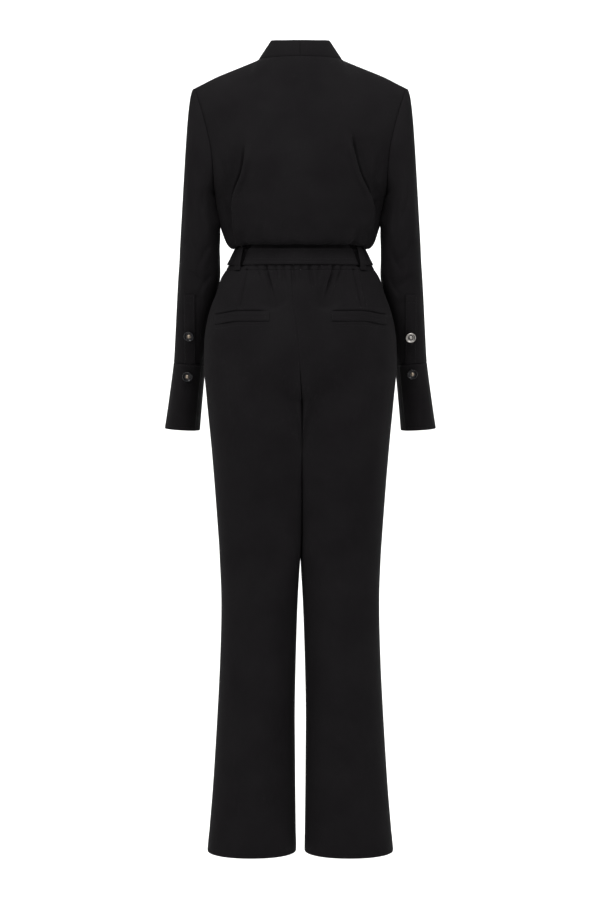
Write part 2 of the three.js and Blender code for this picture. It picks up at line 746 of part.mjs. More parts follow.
// Belt: once round over the waistband, its end lapped over its start past the front middle
function addBelt() {
  const lap = 0.62;
  const pointAt = (u, v) => {
    const swept = u * (2 * Math.PI + lap);
    const angle = -Math.PI - 0.1 + swept;
    const z = lerp(beltTopZ, beltBottomZ, v);
    const raise = (beltThick + 0.6) * ease(2 * Math.PI - 0.75, 2 * Math.PI - 0.12, swept);
    return smoothWaist(angle, z, beltStand + beltThick + raise);
  };
  addMesh('belt', clothWall({
    pointAt,
    across: shares(60),
    along: shares(1),
    thick: beltThick,
    outward: 1,
  }));
}

function smoothWaist(angle, z, out) {
  return pushOut(ringPoint(hip(z, 'side'), hip(z, 'back'), hip(z, 'front'), angle, z), out);
}

// Belt loop: a narrow strip that stands out over the belt and comes back to the waistband
const loopRows = [
  { t: 0.00, z: -346.9, out: 2.0 },
  { t: 0.10, z: -346.9, out: 4.6 },
  { t: 0.20, z: -347.4, out: 6.9 },
  { t: 0.32, z: -350.0, out: 8.3 },
  { t: 0.50, z: -358.0, out: 8.8 },
  { t: 0.68, z: -370.0, out: 8.2 },
  { t: 0.82, z: -379.0, out: 6.9 },
  { t: 0.92, z: -383.5, out: 4.5 },
  { t: 1.00, z: -388.4, out: 2.4 },
];
const loop = reader(loopRows, 't');

// The waist widens downwards, so a loop that hangs upright turns back round it by its lean
function addLoop(name, angle, lean, halfTurn) {
  const pointAt = (u, v) => {
    const turn = angle + lean * ease(0.1, 1, v) + lerp(-halfTurn, halfTurn, u);
    return smoothWaist(turn, loop(v, 'z'), loop(v, 'out'));
  };
  addMesh(name, clothWall({
    pointAt,
    across: shares(2),
    along: loopRows.map((row) => row.t),
    thick: thinWall,
    outward: 1,
  }));
}

// Rows of a trouser panel
const trouserAlong = [
  bandSeamZ - 0.15, -398, -410, -424, -442, -466, -500, -530, -552, -572, -590, -606, -618, crotchZ,
  -648, -680, -740, -830, -920, -1000, -1090, -1190, -1330, hemZ,
];
const backAcross = [0, 0.1, 0.2, 0.3, 0.4, 0.5, 0.58, 0.64, 0.7, 0.76, 0.81, 0.86, 0.9, 0.935, 0.97, 1];

function addTrousers(name, side, face) {
  const keep = (q, p, u, z) => {
    if (z < -560) q.x = side * Math.max(side * q.x, halfGap);
    if (u === 1 && side * (q.x - p.x) < 0) q.x = p.x;
    if (z === trouserAlong[0]) q.z = Math.min(q.z, p.z);
    return q;
  };
  addMesh(name, clothWall({
    pointAt: (u, z) => trouserPoint(side, face, u, z),
    across: face > 0 ? backAcross : shares(10),
    along: trouserAlong,
    thick: wall,
    outward: side * face,
    keep,
  }));
}

// Pocket welt: a strip laid across the hip, from near the middle out towards the side seam
function addWelt(name, side) {
  const pointAt = (u, v) => {
    const x = lerp(55, 155, u);
    const dip = 6.5 * ease(108, 158, x) ** 1.2;
    const z = lerp(-464.4, -481.6, v) - dip;
    const half = hip(z, 'side');
    const angle = side * Math.asin((x / half) ** (1 / squareness));
    const point = ringPoint(half, hip(z, 'back'), hip(z, 'front'), angle, z);
    point.y += halfGap;
    point.x += side * halfGap;
    return pushOut(point, 0.4 + thinWall);
  };
  addMesh(name, clothWall({
    pointAt,
    across: shares(12),
    along: shares(1),
    thick: thinWall,
    outward: side,
  }));
}

// Button: a dished disc with a raised rim, a groove, a small dome and a shank behind
const buttonProfile = [
  { r: 0, z: -1.6 },
  { r: 2.4, z: -1.6 },
  { r: 2.4, z: 0 },
  { r: 7.6, z: 0 },
  { r: buttonRadius, z: 1.3 },
  { r: buttonRadius, z: 2.5 },
  { r: 9.1, z: buttonThick },
  { r: 7.9, z: 3.3 },
  { r: 6.6, z: 2.3 },
  { r: 4.4, z: 2.3 },
  { r: 3.6, z: 2.6 },
  { r: 2.6, z: 3.6 },
  { r: 1.2, z: 4.1 },
  { r: 0, z: 4.2 },
];

function buttonGeometry() {
  const around = 16;
  const positions = [];
  const index = [];
  const ringStart = [];
  for (const row of buttonProfile) {
    ringStart.push(positions.length / 3);
    const count = row.r === 0 ? 1 : around;
    for (let k = 0; k < count; k += 1) {
      const angle = (k / around) * 2 * Math.PI;
      positions.push(row.r * Math.cos(angle), row.r * Math.sin(angle), row.z);
    }
  }
  for (let i = 0; i < buttonProfile.length - 1; i += 1) {
    const a = ringStart[i];
    const b = ringStart[i + 1];
    for (let k = 0; k < around; k += 1) {
      const next = (k + 1) % around;
      if (buttonProfile[i].r === 0) index.push(a, b + next, b + k);
      else if (buttonProfile[i + 1].r === 0) index.push(a + k, a + next, b);
      else index.push(a + k, a + next, b + next, a + k, b + next, b + k);
    }
  }
  const geometry = new THREE.BufferGeometry();
  geometry.setAttribute('position', new THREE.Float32BufferAttribute(positions, 3));
  geometry.setIndex(index);
  return turnedOut(geometry);
}

// Stands a button on the sleeve or cuff, at a turn round it and a height
function addButton(name, side, turn, z, out) {
  const at = cuffPoint(side, turn, z, out);
  const du = cuffPoint(side, turn + 1, z, out).sub(at);
  const dz = cuffPoint(side, turn, z + 1, out).sub(at);
  const normal = du.cross(dz).multiplyScalar(side).normalize();
  const mesh = addMesh(name, buttonGeometry(), 0x17171a, 0.25, 0.1);
  mesh.quaternion.setFromUnitVectors(new THREE.Vector3(0, 0, 1), normal);
  mesh.position.copy(at).addScaledVector(normal, 1.6 + 0.3);
}

addBackBodice();
addFrontBodice('front_bodice_left', 1);
addFrontBodice('front_bodice_right', -1);
addCollar('neckband_left', 1);
addCollar('neckband_right', -1);
addSleeve('sleeve_left', 1);
addSleeve('sleeve_right', -1);
addCuff('cuff_left', 1);
addCuff('cuff_right', -1);
addPlacket('placket_left', 1);
addPlacket('placket_right', -1);
addWaistband();
addBelt();
addLoop('belt_loop_back_left', rad(59.5), rad(-5), rad(4));
addLoop('belt_loop_back_right', rad(-59.5), rad(5), rad(4));
addLoop('belt_loop_front_left', rad(128), rad(4), rad(3.8));
addLoop('belt_loop_front_right', rad(-128), rad(-4), rad(3.8));
addTrousers('back_leg_left', 1, 1);
addTrousers('back_leg_right', -1, 1);
addTrousers('front_leg_left', 1, -1);
addTrousers('front_leg_right', -1, -1);
addWelt('pocket_welt_left', 1);
addWelt('pocket_welt_right', -1);
addButton('placket_button_left', 1, 84, -511, placketStand + thinWall);
addButton('placket_button_right', -1, 84, -513, placketStand + thinWall);
addButton('cuff_button_left', 1, 92, -588, wall + 0.6);
addButton('cuff_button_right', -1, 92, -584, wall + 0.6);

export default jumpsuit;
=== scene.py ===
from math import cos, pi, radians, sin

import bpy
import numpy as np
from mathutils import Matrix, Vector


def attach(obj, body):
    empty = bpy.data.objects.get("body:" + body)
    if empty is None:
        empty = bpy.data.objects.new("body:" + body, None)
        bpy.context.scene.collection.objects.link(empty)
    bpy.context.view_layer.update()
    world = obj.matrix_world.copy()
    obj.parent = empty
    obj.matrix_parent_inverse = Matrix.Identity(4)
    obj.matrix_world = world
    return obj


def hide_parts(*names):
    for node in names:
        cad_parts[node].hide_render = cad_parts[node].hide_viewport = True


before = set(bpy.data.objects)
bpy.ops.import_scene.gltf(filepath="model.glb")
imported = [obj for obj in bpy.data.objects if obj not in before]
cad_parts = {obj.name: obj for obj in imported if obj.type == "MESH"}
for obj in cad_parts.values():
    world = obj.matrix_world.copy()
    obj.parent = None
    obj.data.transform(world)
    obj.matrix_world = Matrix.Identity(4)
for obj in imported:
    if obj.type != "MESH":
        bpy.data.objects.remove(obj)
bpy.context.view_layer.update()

# The forms below are worked out in millimetres and turned to metres when a mesh is made.
# Z is up, the front faces -Y and the wearer's left is +X, as in the part's source.
mm = 0.001
quarter = pi / 2
halfGap = 0.02          # half of the space at a seam
squareness = 0.93       # 1 is an ellipse, less is squarer


# Helpers for numbers and curves

def smooth(low, high, value):
    t = np.clip((value - low) / (high - low), 0, 1)
    return t * t * (3 - 2 * t)


def mix(a, b, t):
    return a + (b - a) * t


def hill(distance, width):
    return np.exp(-((distance / width) ** 2))


def rounded(value):
    return np.sign(value) * np.abs(value) ** squareness


def curveOf(keys, values):      # a smooth curve through a table's column
    if keys[-1] < keys[0]:
        keys, values = keys[::-1], values[::-1]
    before = np.maximum(np.arange(len(keys)) - 1, 0)
    after = np.minimum(np.arange(len(keys)) + 1, len(keys) - 1)
    slope = (values[after] - values[before]) / (keys[after] - keys[before])

    def read(at):
        x = np.clip(at, keys[0], keys[-1])
        i = np.clip(np.searchsorted(keys, x, side="right") - 1, 0, len(keys) - 2)
        span = keys[i + 1] - keys[i]
        t = (x - keys[i]) / span
        a = (2 * t**3 - 3 * t**2 + 1) * values[i] + (t**3 - 2 * t**2 + t) * slope[i] * span
        b = (3 * t**2 - 2 * t**3) * values[i + 1] + (t**3 - t**2) * slope[i + 1] * span
        return a + b

    return read


def table(names, rows):
    data = np.array(rows, float)
    return {name: curveOf(data[:, 0], data[:, k]) for k, name in enumerate(names.split()) if k}


def shares(count, ends=()):     # even shares of a side, with more of them near its ends
    near = list(ends) + [1 - e for e in ends]
    return np.unique(np.concatenate([np.linspace(0, 1, count + 1), near]))


edgeShares = (0.0015, 0.004, 0.008, 0.014)


# The body's rings

bodiceRing = table("v z side back front", [
    (0.00, -343.4, 116.0, 84.4, 84.4),
    (0.04, -345.2, 121.5, 91.5, 90.0),
    (0.08, -345.0, 126.5, 98.5, 96.0),
    (0.12, -341.5, 131.5, 103.5, 100.5),
    (0.18, -334.0, 136.6, 106.5, 103.5),
    (0.28, -321.0, 142.0, 108.8, 107.0),
    (0.42, -306.0, 147.2, 111.5, 112.0),
    (0.60, -290.0, 150.6, 114.0, 117.0),
    (0.80, -275.0, 154.4, 116.0, 120.0),
    (1.00, -263.0, 157.3, 117.0, 121.5),
])
upperLine = table("q backY backZ frontY spread", [
    (0.00, 117, -263, -121.5, 90),
    (0.25, 117, -200, -118, 72),
    (0.50, 109, -135, -106, 64),
    (0.70, 96, -83, -89, 64),
    (0.85, 81, -42, -74, 68),
    (0.95, 68, -14, -64, 72),
    (1.00, 62, -3, -58, 75),
])
armhole = table("turn x y z", [
    (-50, 178, -41, -98), (-25, 189.5, -20, -69), (0, 194, 0, -56.5), (25, 189.5, 18, -69),
    (50, 180, 37, -98), (75, 170, 51, -134), (100, 162, 59, -172), (125, 158.4, 55, -212),
    (150, 157.4, 36, -244), (180, 157.3, 0, -263), (210, 157.4, -38, -244),
    (235, 158.6, -58, -212), (260, 160.5, -63, -172), (285, 167, -56, -134),
    (310, 178, -41, -98), (335, 189.5, -20, -69), (360, 194, 0, -56.5), (385, 189.5, 18, -69),
])
hipRing = table("z side back front", [
    (-343, 115.4, 84.0, 84.0), (-350, 117.0, 84.8, 84.8), (-360, 121.6, 86.6, 86.0),
    (-374, 128.6, 89.0, 87.0), (-389, 136.8, 92.5, 88.5), (-404, 145.8, 98.0, 92.0),
    (-431, 154.6, 108.0, 98.0), (-455, 163.8, 115.0, 101.5), (-481, 171.2, 120.5, 103.5),
    (-512, 176.4, 124.5, 104.5), (-536, 177.6, 126.5, 105.0), (-562, 178.0, 127.0, 105.0),
    (-595, 175.9, 125.0, 104.0), (-625, 172.8, 121.0, 102.0), (-700, 166.0, 112.0, 96.0),
])
legRing = table("z outer inner back front", [
    (-500, 174.0, 0.1, 122.0, 104.0), (-560, 178.0, 0.1, 123.0, 102.0),
    (-625, 172.8, 0.1, 117.0, 98.0), (-684, 167.1, 0.1, 108.0, 91.0),
    (-758, 160.7, 0.1, 97.0, 82.0), (-832, 155.1, 0.1, 87.0, 74.0),
    (-907, 149.9, 0.2, 80.0, 69.0), (-944, 148.1, 1.6, 77.5, 67.0),
    (-981, 146.8, 3.7, 75.5, 65.5), (-1019, 146.7, 5.4, 74.5, 64.5),
    (-1056, 147.3, 6.7, 75.0, 63.8), (-1131, 150.0, 8.8, 77.5, 63.5),
    (-1206, 154.0, 10.1, 79.0, 64.0), (-1281, 158.5, 9.7, 79.5, 65.0),
    (-1357, 163.7, 9.1, 78.5, 67.0), (-1432, 170.1, 8.2, 76.5, 69.5),
    (-1470, 173.6, 7.7, 75.0, 71.0),
])
sleeveRing = table("z x y across deep", [
    (-285, 185.6, -4, 32.4, 59), (-315, 183.8, -8, 36.2, 60), (-345, 185.1, -13, 36.9, 59),
    (-374, 185.9, -20, 37.8, 58), (-404, 187.5, -29, 38.8, 57), (-450, 193.1, -43, 36.5, 55),
    (-500, 200.0, -60, 33.0, 52.5), (-545, 205.2, -74, 30.9, 50), (-565, 207.8, -80, 30.2, 49),
    (-595, 211.6, -88, 30.6, 49), (-625, 215.4, -96, 31.3, 49.2), (-654, 219.1, -103, 32.1, 49.8),
    (-690, 223.6, -110, 33.4, 50.5),
])
seatSeam = table("z x", [(-389, 13.6), (-455, 10.4), (-490, 5.6), (-560, 0.4), (-700, 0.0)])
sleeveHead = table("turn x y z reach fall", [
    (-60, 0.86, 0.02, -0.3, 22, 60), (0, 1.0, 0.0, -0.12, 11, 165), (60, 0.9, 0.0, -0.22, 22, 80),
    (105, 0.8, 0.12, -0.5, 24, 45), (145, 0.5, 0.12, -0.8, 16, 18), (180, 0.16, 0.0, -1.0, 8, 8),
    (215, 0.5, -0.12, -0.8, 16, 18), (255, 0.8, -0.08, -0.5, 24, 45),
    (300, 0.86, 0.02, -0.3, 22, 60), (360, 1.0, 0.0, -0.12, 11, 165),
    (420, 0.9, 0.0, -0.22, 22, 80),
])
bandRise = table("s x y z", [
    (0.00, 0, -12, 29.5), (0.10, -10, -10, 30.5), (0.20, -18, -5, 32.8), (0.28, -23, 2, 33.8),
    (0.34, -25, 1, 31.5), (0.42, -25.5, -7, 20.5), (0.55, -25, -6, 9), (0.80, -24.8, -3, 7.4),
    (1.00, -24.8, -2, 7.4),
])
foldLine = table("z left right", [
    (-345, 118, 134), (-300, 123, 136), (-265, 124, 130), (-245, 119, 122), (-215, 107, 108),
    (-175, 100, 97), (-140, 98, 90),
])


def ringPoint(side, back, front, angle, z):
    x = side * rounded(np.sin(angle))
    y = np.where(np.cos(angle) >= 0, back, front) * rounded(np.cos(angle))
    return np.stack([x, y, z + 0 * x], axis=-1)


def pushOut(points, move):
    reach = np.hypot(points[..., 0], points[..., 1])
    out = points.copy()
    out[..., 0] += points[..., 0] / reach * move
    out[..., 1] += points[..., 1] / reach * move
    return out


# Folds: each is a soft trough from one place to another, with a ridge beside it

def creases(a, b, rows):
    move = np.zeros(np.broadcast(a, b).shape)
    for a0, b0, a1, b1, bend, width, depth in rows:
        along = np.hypot(a1 - a0, b1 - b0)
        da, db = (a1 - a0) / along, (b1 - b0) / along
        t = ((a - a0) * da + (b - b0) * db) / along
        off = (a - a0) * -db + (b - b0) * da - bend * 4 * t * (1 - t)
        held = smooth(-0.12, 0.22, t) * (1 - smooth(0.72, 1.12, t))
        move -= depth * held * hill(off, width)
        move += 0.55 * depth * held * hill(off - 1.9 * width, 1.4 * width)
    return move


# Bodice

backFolds = {
    "steps": [(1, -165, -338, 7.0), (-1, -146, -318, 7.4)],      # side, top, bottom, depth
    "creases": [
        # x0 z0 x1 z1 bend width depth
        (104, -150, 126, -300, 6, 7, 1.3), (-96, -150, -134, -290, -6, 7, 1.3),
        (92, -196, 108, -300, 4, 9, 0.9), (-84, -190, -112, -300, -4, 10, 0.9),
        (143, -190, 131, -330, -3, 6, 3.0), (-144, -185, -139, -325, 3, 6, 3.0),
        (152, -245, 124, -342, -3, 5, 2.6), (-150, -255, -122, -343, 3, 5, 2.6),
        (62, -300, 74, -342, 2, 6, 1.0), (-58, -306, -70, -342, -2, 6, 1.0),
        (30, -312, 34, -343, 0, 6, 0.7), (-22, -308, -25, -343, 0, 7, 0.7),
        (4, -316, 3, -344, 0, 6, 0.6), (108, -322, 92, -345, 2, 4, 2.2),
        (-106, -322, -91, -345, -2, 4, 2.2), (60, -120, 20, -176, 5, 20, 0.5),
        (-70, -110, -25, -170, -5, 20, 0.5), (175, -80, 130, -150, -8, 14, 0.6),
        (-175, -80, -128, -146, 8, 14, 0.6), (0, -210, 12, -290, 3, 16, 0.5),
    ],
}
frontFolds = [
    (100, -150, 122, -300, 6, 8, 1.4), (140, -210, 128, -330, -3, 6, 1.6),
    (150, -250, 124, -342, -3, 5, 1.5), (86, -250, 96, -342, 3, 8, 1.3),
    (54, -286, 66, -343, 2, 6, 1.1), (24, -300, 28, -343, 0, 6, 0.8),
    (106, -322, 90, -345, 2, 4, 2.0), (168, -90, 120, -160, -6, 14, 0.7),
    (60, -150, 40, -220, 4, 14, 0.6),
]
neckHalf, neckShare, tipX, bodiceSplit = 77, 5 / 12, 194, 0.42
shoulderRound = 4               # how far the shoulder rounds up between its edges


def backRelief(x, z):
    move = np.zeros(np.shape(x))
    for side, top, bottom, depth in backFolds["steps"]:
        line = foldLine["left" if side > 0 else "right"](z)
        fade = smooth(bottom - 8, bottom + 22, z) * (1 - smooth(top - 36, top + 9, z))
        past = side * x - line
        ridge = hill(past + 6, 6.5)
        trough = 1.2 * hill(past - 2.4, 2.7) + 0.7 * smooth(0, 3, past) * (1 - smooth(10, 34, past))
        move += fade * depth * (0.9 * ridge - trough)
    return move


def blouseEdge(angle):          # how far the bloused edge rises or droops round the waist
    turn = np.degrees(np.abs(angle))
    lift = 2.6 * (1 - smooth(50, 58, turn)) + 2.2 * hill(turn - 47, 5)
    wave = 1.0 * np.sin(angle * 13 + 0.8) + 0.7 * np.sin(angle * 29)
    droop = 5.0 * smooth(63, 74, turn) * (1 - smooth(106, 116, turn))
    return lift - droop + wave * (1 - smooth(52, 60, turn))


def lowerBodice(angle, v):
    z = bodiceRing["z"](v)
    z = z + blouseEdge(angle) * smooth(0.0, 0.07, v) * (1 - smooth(0.12, 0.4, v))
    return ringPoint(bodiceRing["side"](v), bodiceRing["back"](v), bodiceRing["front"](v), angle, z)


def topShares(u):
    t = np.clip(u / neckShare, 0, 1)
    s = np.clip((u - neckShare) / (1 - neckShare), 0, 1)
    onNeck = u < neckShare
    x = np.where(onNeck, neckHalf * np.sin(t * quarter) / tipX, mix(neckHalf / tipX, 1, s))
    y = np.where(onNeck, 1 - np.cos(t * quarter), 1)
    z = np.where(onNeck, 0.037 * t, mix(0.037, 1, s))
    return x, y, z


def upperBack(across, q):
    u = np.abs(across)
    spread = np.radians(upperLine["spread"](q))
    end = [armhole[k](180 * (1 - q)) for k in "xyz"]
    roof = np.clip((q - 0.6) / 0.4, 0, 1) ** 2.3
    topX, topY, topZ = topShares(u)
    shareX = mix(rounded(np.sin(spread * u)) / rounded(np.sin(spread)), topX, roof)
    low = rounded(np.cos(spread))
    shareY = mix((1 - rounded(np.cos(spread * u))) / (1 - low), topY, roof)
    shareZ = mix(u**2.2, topZ, roof)
    lift = 4 * shoulderRound * roof * (1 - roof) * smooth(0.1, 0.5, u) * (1 - smooth(0.75, 1, u))
    z = mix(upperLine["backZ"](q), end[2], shareZ) + lift
    x = end[0] * shareX * np.where(across < 0, -1, 1)
    y = mix(upperLine["backY"](q), end[1], shareY)
    return np.stack(np.broadcast_arrays(x, y, z), axis=-1)


def upperFront(u, q):
    spread = np.radians(upperLine["spread"](q))
    end = [armhole[k](180 + 180 * q) for k in "xyz"]
    roof = np.clip((q - 0.6) / 0.4, 0, 1) ** 2.3
    startX = neckHalf * np.clip(q, 0, 1) ** 1.04
    start = np.arcsin(np.clip((startX / end[0]) ** (1 / squareness) * np.sin(spread), 0, 1))
    angle = mix(start, spread, u)
    low = rounded(np.cos(spread))
    arcX = end[0] * rounded(np.sin(angle)) / rounded(np.sin(spread))
    arcY = mix(end[1], upperLine["frontY"](q), (rounded(np.cos(angle)) - low) / (1 - low))
    x = mix(arcX, mix(startX, end[0], u), roof)
    y = mix(arcY, end[1] * np.clip(u, 0, 1) ** 2, roof)
    lift = 4 * shoulderRound * roof * (1 - roof) * np.sin(pi * np.clip(u, 0, 1)) ** 2
    z = mix(mix(-263, -5, q), end[2], mix(np.clip(u, 0, 1) ** 1.7, u, roof)) + lift
    return np.stack(np.broadcast_arrays(x, y, z), axis=-1)


def backBodicePoint(u, v):
    across = u * 2 - 1
    low = lowerBodice(across * quarter, np.clip(v / bodiceSplit, 0, 1))
    high = upperBack(across, np.clip((v - bodiceSplit) / (1 - bodiceSplit), 0, 1))
    points = np.where((v < bodiceSplit)[..., None], low, high)
    points[..., 1] += halfGap
    return points


def frontBodicePoint(side, u, v):
    low = lowerBodice(pi - u * quarter, np.clip(v / bodiceSplit, 0, 1))
    high = upperFront(u, np.clip((v - bodiceSplit) / (1 - bodiceSplit), 0, 1))
    points = np.where((v < bodiceSplit)[..., None], low, high)
    points[..., 0] = side * (points[..., 0] + halfGap * (1 - u))
    points[..., 1] -= halfGap
    return points


# Neckband

bandTurn = 0.3          # share of the neckband behind the shoulder seams


def neckSeam(s):
    behind = upperBack(np.clip(neckShare * s / bandTurn, 0, 1), np.ones_like(s))
    before = upperFront(np.zeros_like(s), np.clip(1 - (s - bandTurn) / (1 - bandTurn), 0, 1))
    return np.where((s < bandTurn)[..., None], behind, before)


def neckbandPoint(side, s, t):
    seam = neckSeam(s)
    rise = np.stack([bandRise[k](s) for k in "xyz"], axis=-1)
    length = np.linalg.norm(rise, axis=-1)
    limit = seam[..., 0] / np.abs(rise[..., 0])
    full = np.where(s > 0.5, np.minimum(1, limit), 1)
    start = np.minimum(0.3 / length, full * 0.5)
    points = seam + rise * mix(start, full, t)[..., None]
    stand = 1 - smooth(0.32, 0.5, s)
    points[..., 1] += stand * 1.5 * np.sin(pi * t) * np.where(s < 0.2, 1, 0.4)
    points[..., 0] = side * np.maximum(points[..., 0] + halfGap, halfGap)
    return points


# Sleeve, cuff and placket

sleeveSizes = {"foot": -285, "cuffTop": -563, "cuffBottom": -688, "split": 0.4,
               "slitTurn": 138, "lapTurn": 44, "cloth": 1.8}
sleeveFolds = [
    # turn0 z0 turn1 z1 bend width depth, turn in degrees is read as about 1 mm
    (70, -235, 96, -300, 6, 7, 1.4), (110, -250, 100, -330, -4, 8, 1.2),
    (60, -330, 92, -372, 3, 6, 1.4), (120, -345, 88, -388, -3, 6, 1.5),
    (66, -392, 104, -416, 2, 6, 1.5), (126, -398, 96, -432, -3, 5, 1.2),
    (78, -432, 112, -452, 2, 6, 1.0), (58, -455, 70, -540, 3, 7, 1.0),
    (136, -455, 128, -545, -3, 7, 1.1), (36, -240, 30, -330, 2, 9, 0.8),
    (20, -370, 28, -460, 2, 9, 0.8), (250, -330, 276, -370, 3, 7, 1.4),
    (290, -350, 262, -395, -3, 7, 1.4), (246, -395, 280, -425, 3, 6, 1.5),
    (300, -410, 268, -440, -3, 6, 1.3), (270, -455, 282, -540, 3, 8, 1.0),
    (180, -340, 200, -410, 3, 8, 0.8), (85, -120, 95, -200, 4, 12, 0.7),
]


def leaned(points, z):
    out = points.copy()
    out[..., 2] += 0.06 * smooth(-420, -560, z) * (points[..., 0] - sleeveRing["x"](z))
    return out


def sleeveRingPoint(turn, z):
    angle = np.radians(turn)
    x = sleeveRing["x"](z) + sleeveRing["across"](z) * rounded(np.cos(angle))
    y = sleeveRing["y"](z) + sleeveRing["deep"](z) * rounded(np.sin(angle))
    return np.stack(np.broadcast_arrays(x, y, z), axis=-1)


def sleeveHeadPoint(turn, t):
    start = np.stack([armhole[k](turn) for k in "xyz"], axis=-1)
    leave = np.stack([sleeveHead[k](turn) for k in "xyz"], axis=-1)
    leave = leave / np.linalg.norm(leave, axis=-1, keepdims=True)
    start = start + leave * halfGap * 2.6
    foot = sleeveSizes["foot"]
    end = sleeveRingPoint(turn, foot + 0 * turn)
    up = end - sleeveRingPoint(turn, foot - 10 + 0 * turn)
    up = up / np.linalg.norm(up, axis=-1, keepdims=True)
    first = start + leave * sleeveHead["reach"](turn)[..., None]
    second = end + up * sleeveHead["fall"](turn)[..., None]
    t = t[..., None]
    return (1 - t) ** 3 * start + 3 * (1 - t) ** 2 * t * first + 3 * (1 - t) * t**2 * second + t**3 * end


def sleevePoint(side, turn, v):
    split = sleeveSizes["split"]
    high = sleeveHeadPoint(turn, np.clip(v / split, 0, 1))
    z = mix(sleeveSizes["foot"], sleeveSizes["cuffTop"], np.clip((v - split) / (1 - split), 0, 1))
    low = leaned(sleeveRingPoint(turn, z), z)
    points = np.where((v < split)[..., None], high, low)
    points[..., 0] *= side
    return points


def cuffPoint(side, turn, z, out):
    points = sleeveRingPoint(turn, z)
    away = points[..., :2] - np.stack([sleeveRing["x"](z), sleeveRing["y"](z)], axis=-1)
    away = away / np.linalg.norm(away, axis=-1, keepdims=True)
    points[..., :2] += away * np.broadcast_to(out, away.shape[:-1])[..., None]
    points = leaned(points, z)
    points[..., 0] *= side
    return points


# Waist and trousers

gathers = [
    # x at the waistband, x at the foot, length, depth
    (62, 50, 46, 2.3), (45, 42, 20, 1.2), (31, 28, 26, 1.5), (14, 10, 32, 1.5), (-1, 0, 20, 1.1),
    (-17, -26, 36, 1.8), (-34, -33, 20, 1.3), (-60, -48, 48, 2.4), (-75, -68, 20, 1.2),
    (79, 72, 18, 1.1),
]
waistHollows = [
    # x, z of the lip below, width, depth: the cloth hangs in here, then comes out over a curved lip
    (54, -461, 24, 8.0), (-47, -460, 23, 7.6), (86, -447, 9, 2.0), (-84, -444, 9, 2.0),
]
bandSeamZ, hemZ, crotchZ, riseStartZ, dartFootZ = -389.3, -1469.5, -628, -545, -461


def waistRelief(x, z):
    below = bandSeamZ - z
    move = np.zeros(np.shape(x))
    for top, foot, length, depth in gathers:
        down = np.clip(below / (1.3 * length), -1, 1)
        x0 = mix(top, foot, np.clip(down, 0, 1))
        fade = np.where(below < 0, hill(below, 9), 1 - smooth(0.35, 1, down))
        move -= 2.1 * depth * fade * hill(x - x0, 3.0)
        move += 0.9 * depth * fade * hill(np.abs(x - x0) - 5.6, 2.8)
    for top, foot in ((99, 112), (-98, -112)):
        x0 = mix(top, foot, np.clip(below / (bandSeamZ - dartFootZ), 0, 1))
        fade = smooth(dartFootZ - 4, dartFootZ + 18, z) * smooth(-4, 2, below)
        move -= 4.2 * fade * hill(x - x0, 1.9)
        move += 1.1 * fade * hill(np.abs(x) - np.abs(x0) - 3.8, 2.4)
    for x0, foot, wide, depth in waistHollows:
        lip = foot + 17 * np.minimum(((x - x0) / 30) ** 2, 3)
        above = smooth(lip + 62, lip + 8, z) * (1 - smooth(lip + 4, lip - 7, z))
        move -= depth * hill(x - x0, wide) * above
    return move * smooth(bandSeamZ - 90, bandSeamZ - 80, z)


def waistPoint(angle, z, out):
    return pushOut(ringPoint(hipRing["side"](z), hipRing["back"](z), hipRing["front"](z), angle, z), out)


def legLine(points):            # the line where the legs meet leans to the wearer's right behind
    x, y, z = np.moveaxis(points, -1, 0)
    return -3.2 * smooth(-560, -640, z) * smooth(-1000, -860, z) * hill(x, 45) * smooth(2, 45, y)


def trouserPoint(side, face, u, z):
    seam = seatSeam["x"](z) if face > 0 else 0 * z
    half = hipRing["side"](z)
    middle = np.arcsin(np.clip(seam / half, -1, 1))
    angle = mix(side * quarter, middle, u)
    depth = "back" if face > 0 else "front"
    hipY = face * hipRing[depth](z) * rounded(np.cos(angle))
    atHip = np.stack([half * rounded(np.sin(angle)), hipY, z], -1)
    outer, inner = legRing["outer"](z), legRing["inner"](z)
    press = smooth(0.5, 0.95, u) * smooth(-1060, -800, z)      # the legs lie against each other
    square = mix(squareness, mix(0.06, 0.3, smooth(-670, -820, z)), press)
    turn = np.cos(u * pi)
    x = (outer + inner) / 2 + (outer - inner) / 2 * np.sign(turn) * np.abs(turn) ** square
    y = face * legRing[depth](z) * np.sin(u * pi) ** square
    atLeg = np.stack([side * x, y, z], -1)
    fall = np.clip((riseStartZ - z) / (riseStartZ - crotchZ), 0, 1)
    share = mix(smooth(-515, -720, z), fall**2.4, u**16)
    points = mix(atHip, atLeg, share[..., None])
    points[..., 2] -= (np.sin(fall * quarter) - fall) * (riseStartZ - crotchZ) * u**10
    points[..., 0] += side * halfGap
    points[..., 1] += face * halfGap
    points[..., 0] += legLine(points)
    return points


welt = {
    "inner": 55, "outer": 155, "top": -464.4, "foot": -481.6, "dip": 6.5, "rise": 1.9,
    "cloth": {"thick": 1.5, "roll": 0.7, "rollWidth": 1.1, "cut": ((0.106, 0.018), 0.0019), "held": "laid"},
}


def weltDip(x):                 # the welt falls away towards the side seam
    return welt["dip"] * smooth(108, 158, x) ** 1.2


def weltRelief(x, z):
    inner, outer = welt["inner"], welt["outer"]
    along = smooth(inner - 1, inner + 3, x) * (1 - smooth(outer - 2, outer + 3, x))
    level = z + weltDip(x)
    mouth = -1.9 * hill(level - welt["top"] - 0.9, 1.3)         # the pocket's mouth above the welt
    lip = 0.4 * hill(level - welt["top"] - 5.0, 3.0)
    foot = -0.6 * hill(level - welt["foot"] + 0.8, 1.1)
    bag = 0.7 * smooth(welt["foot"] - 26, welt["foot"] - 12, level) * hill(level - welt["foot"], 30)
    return along * (mouth + lip + foot) + 0.5 * along * bag


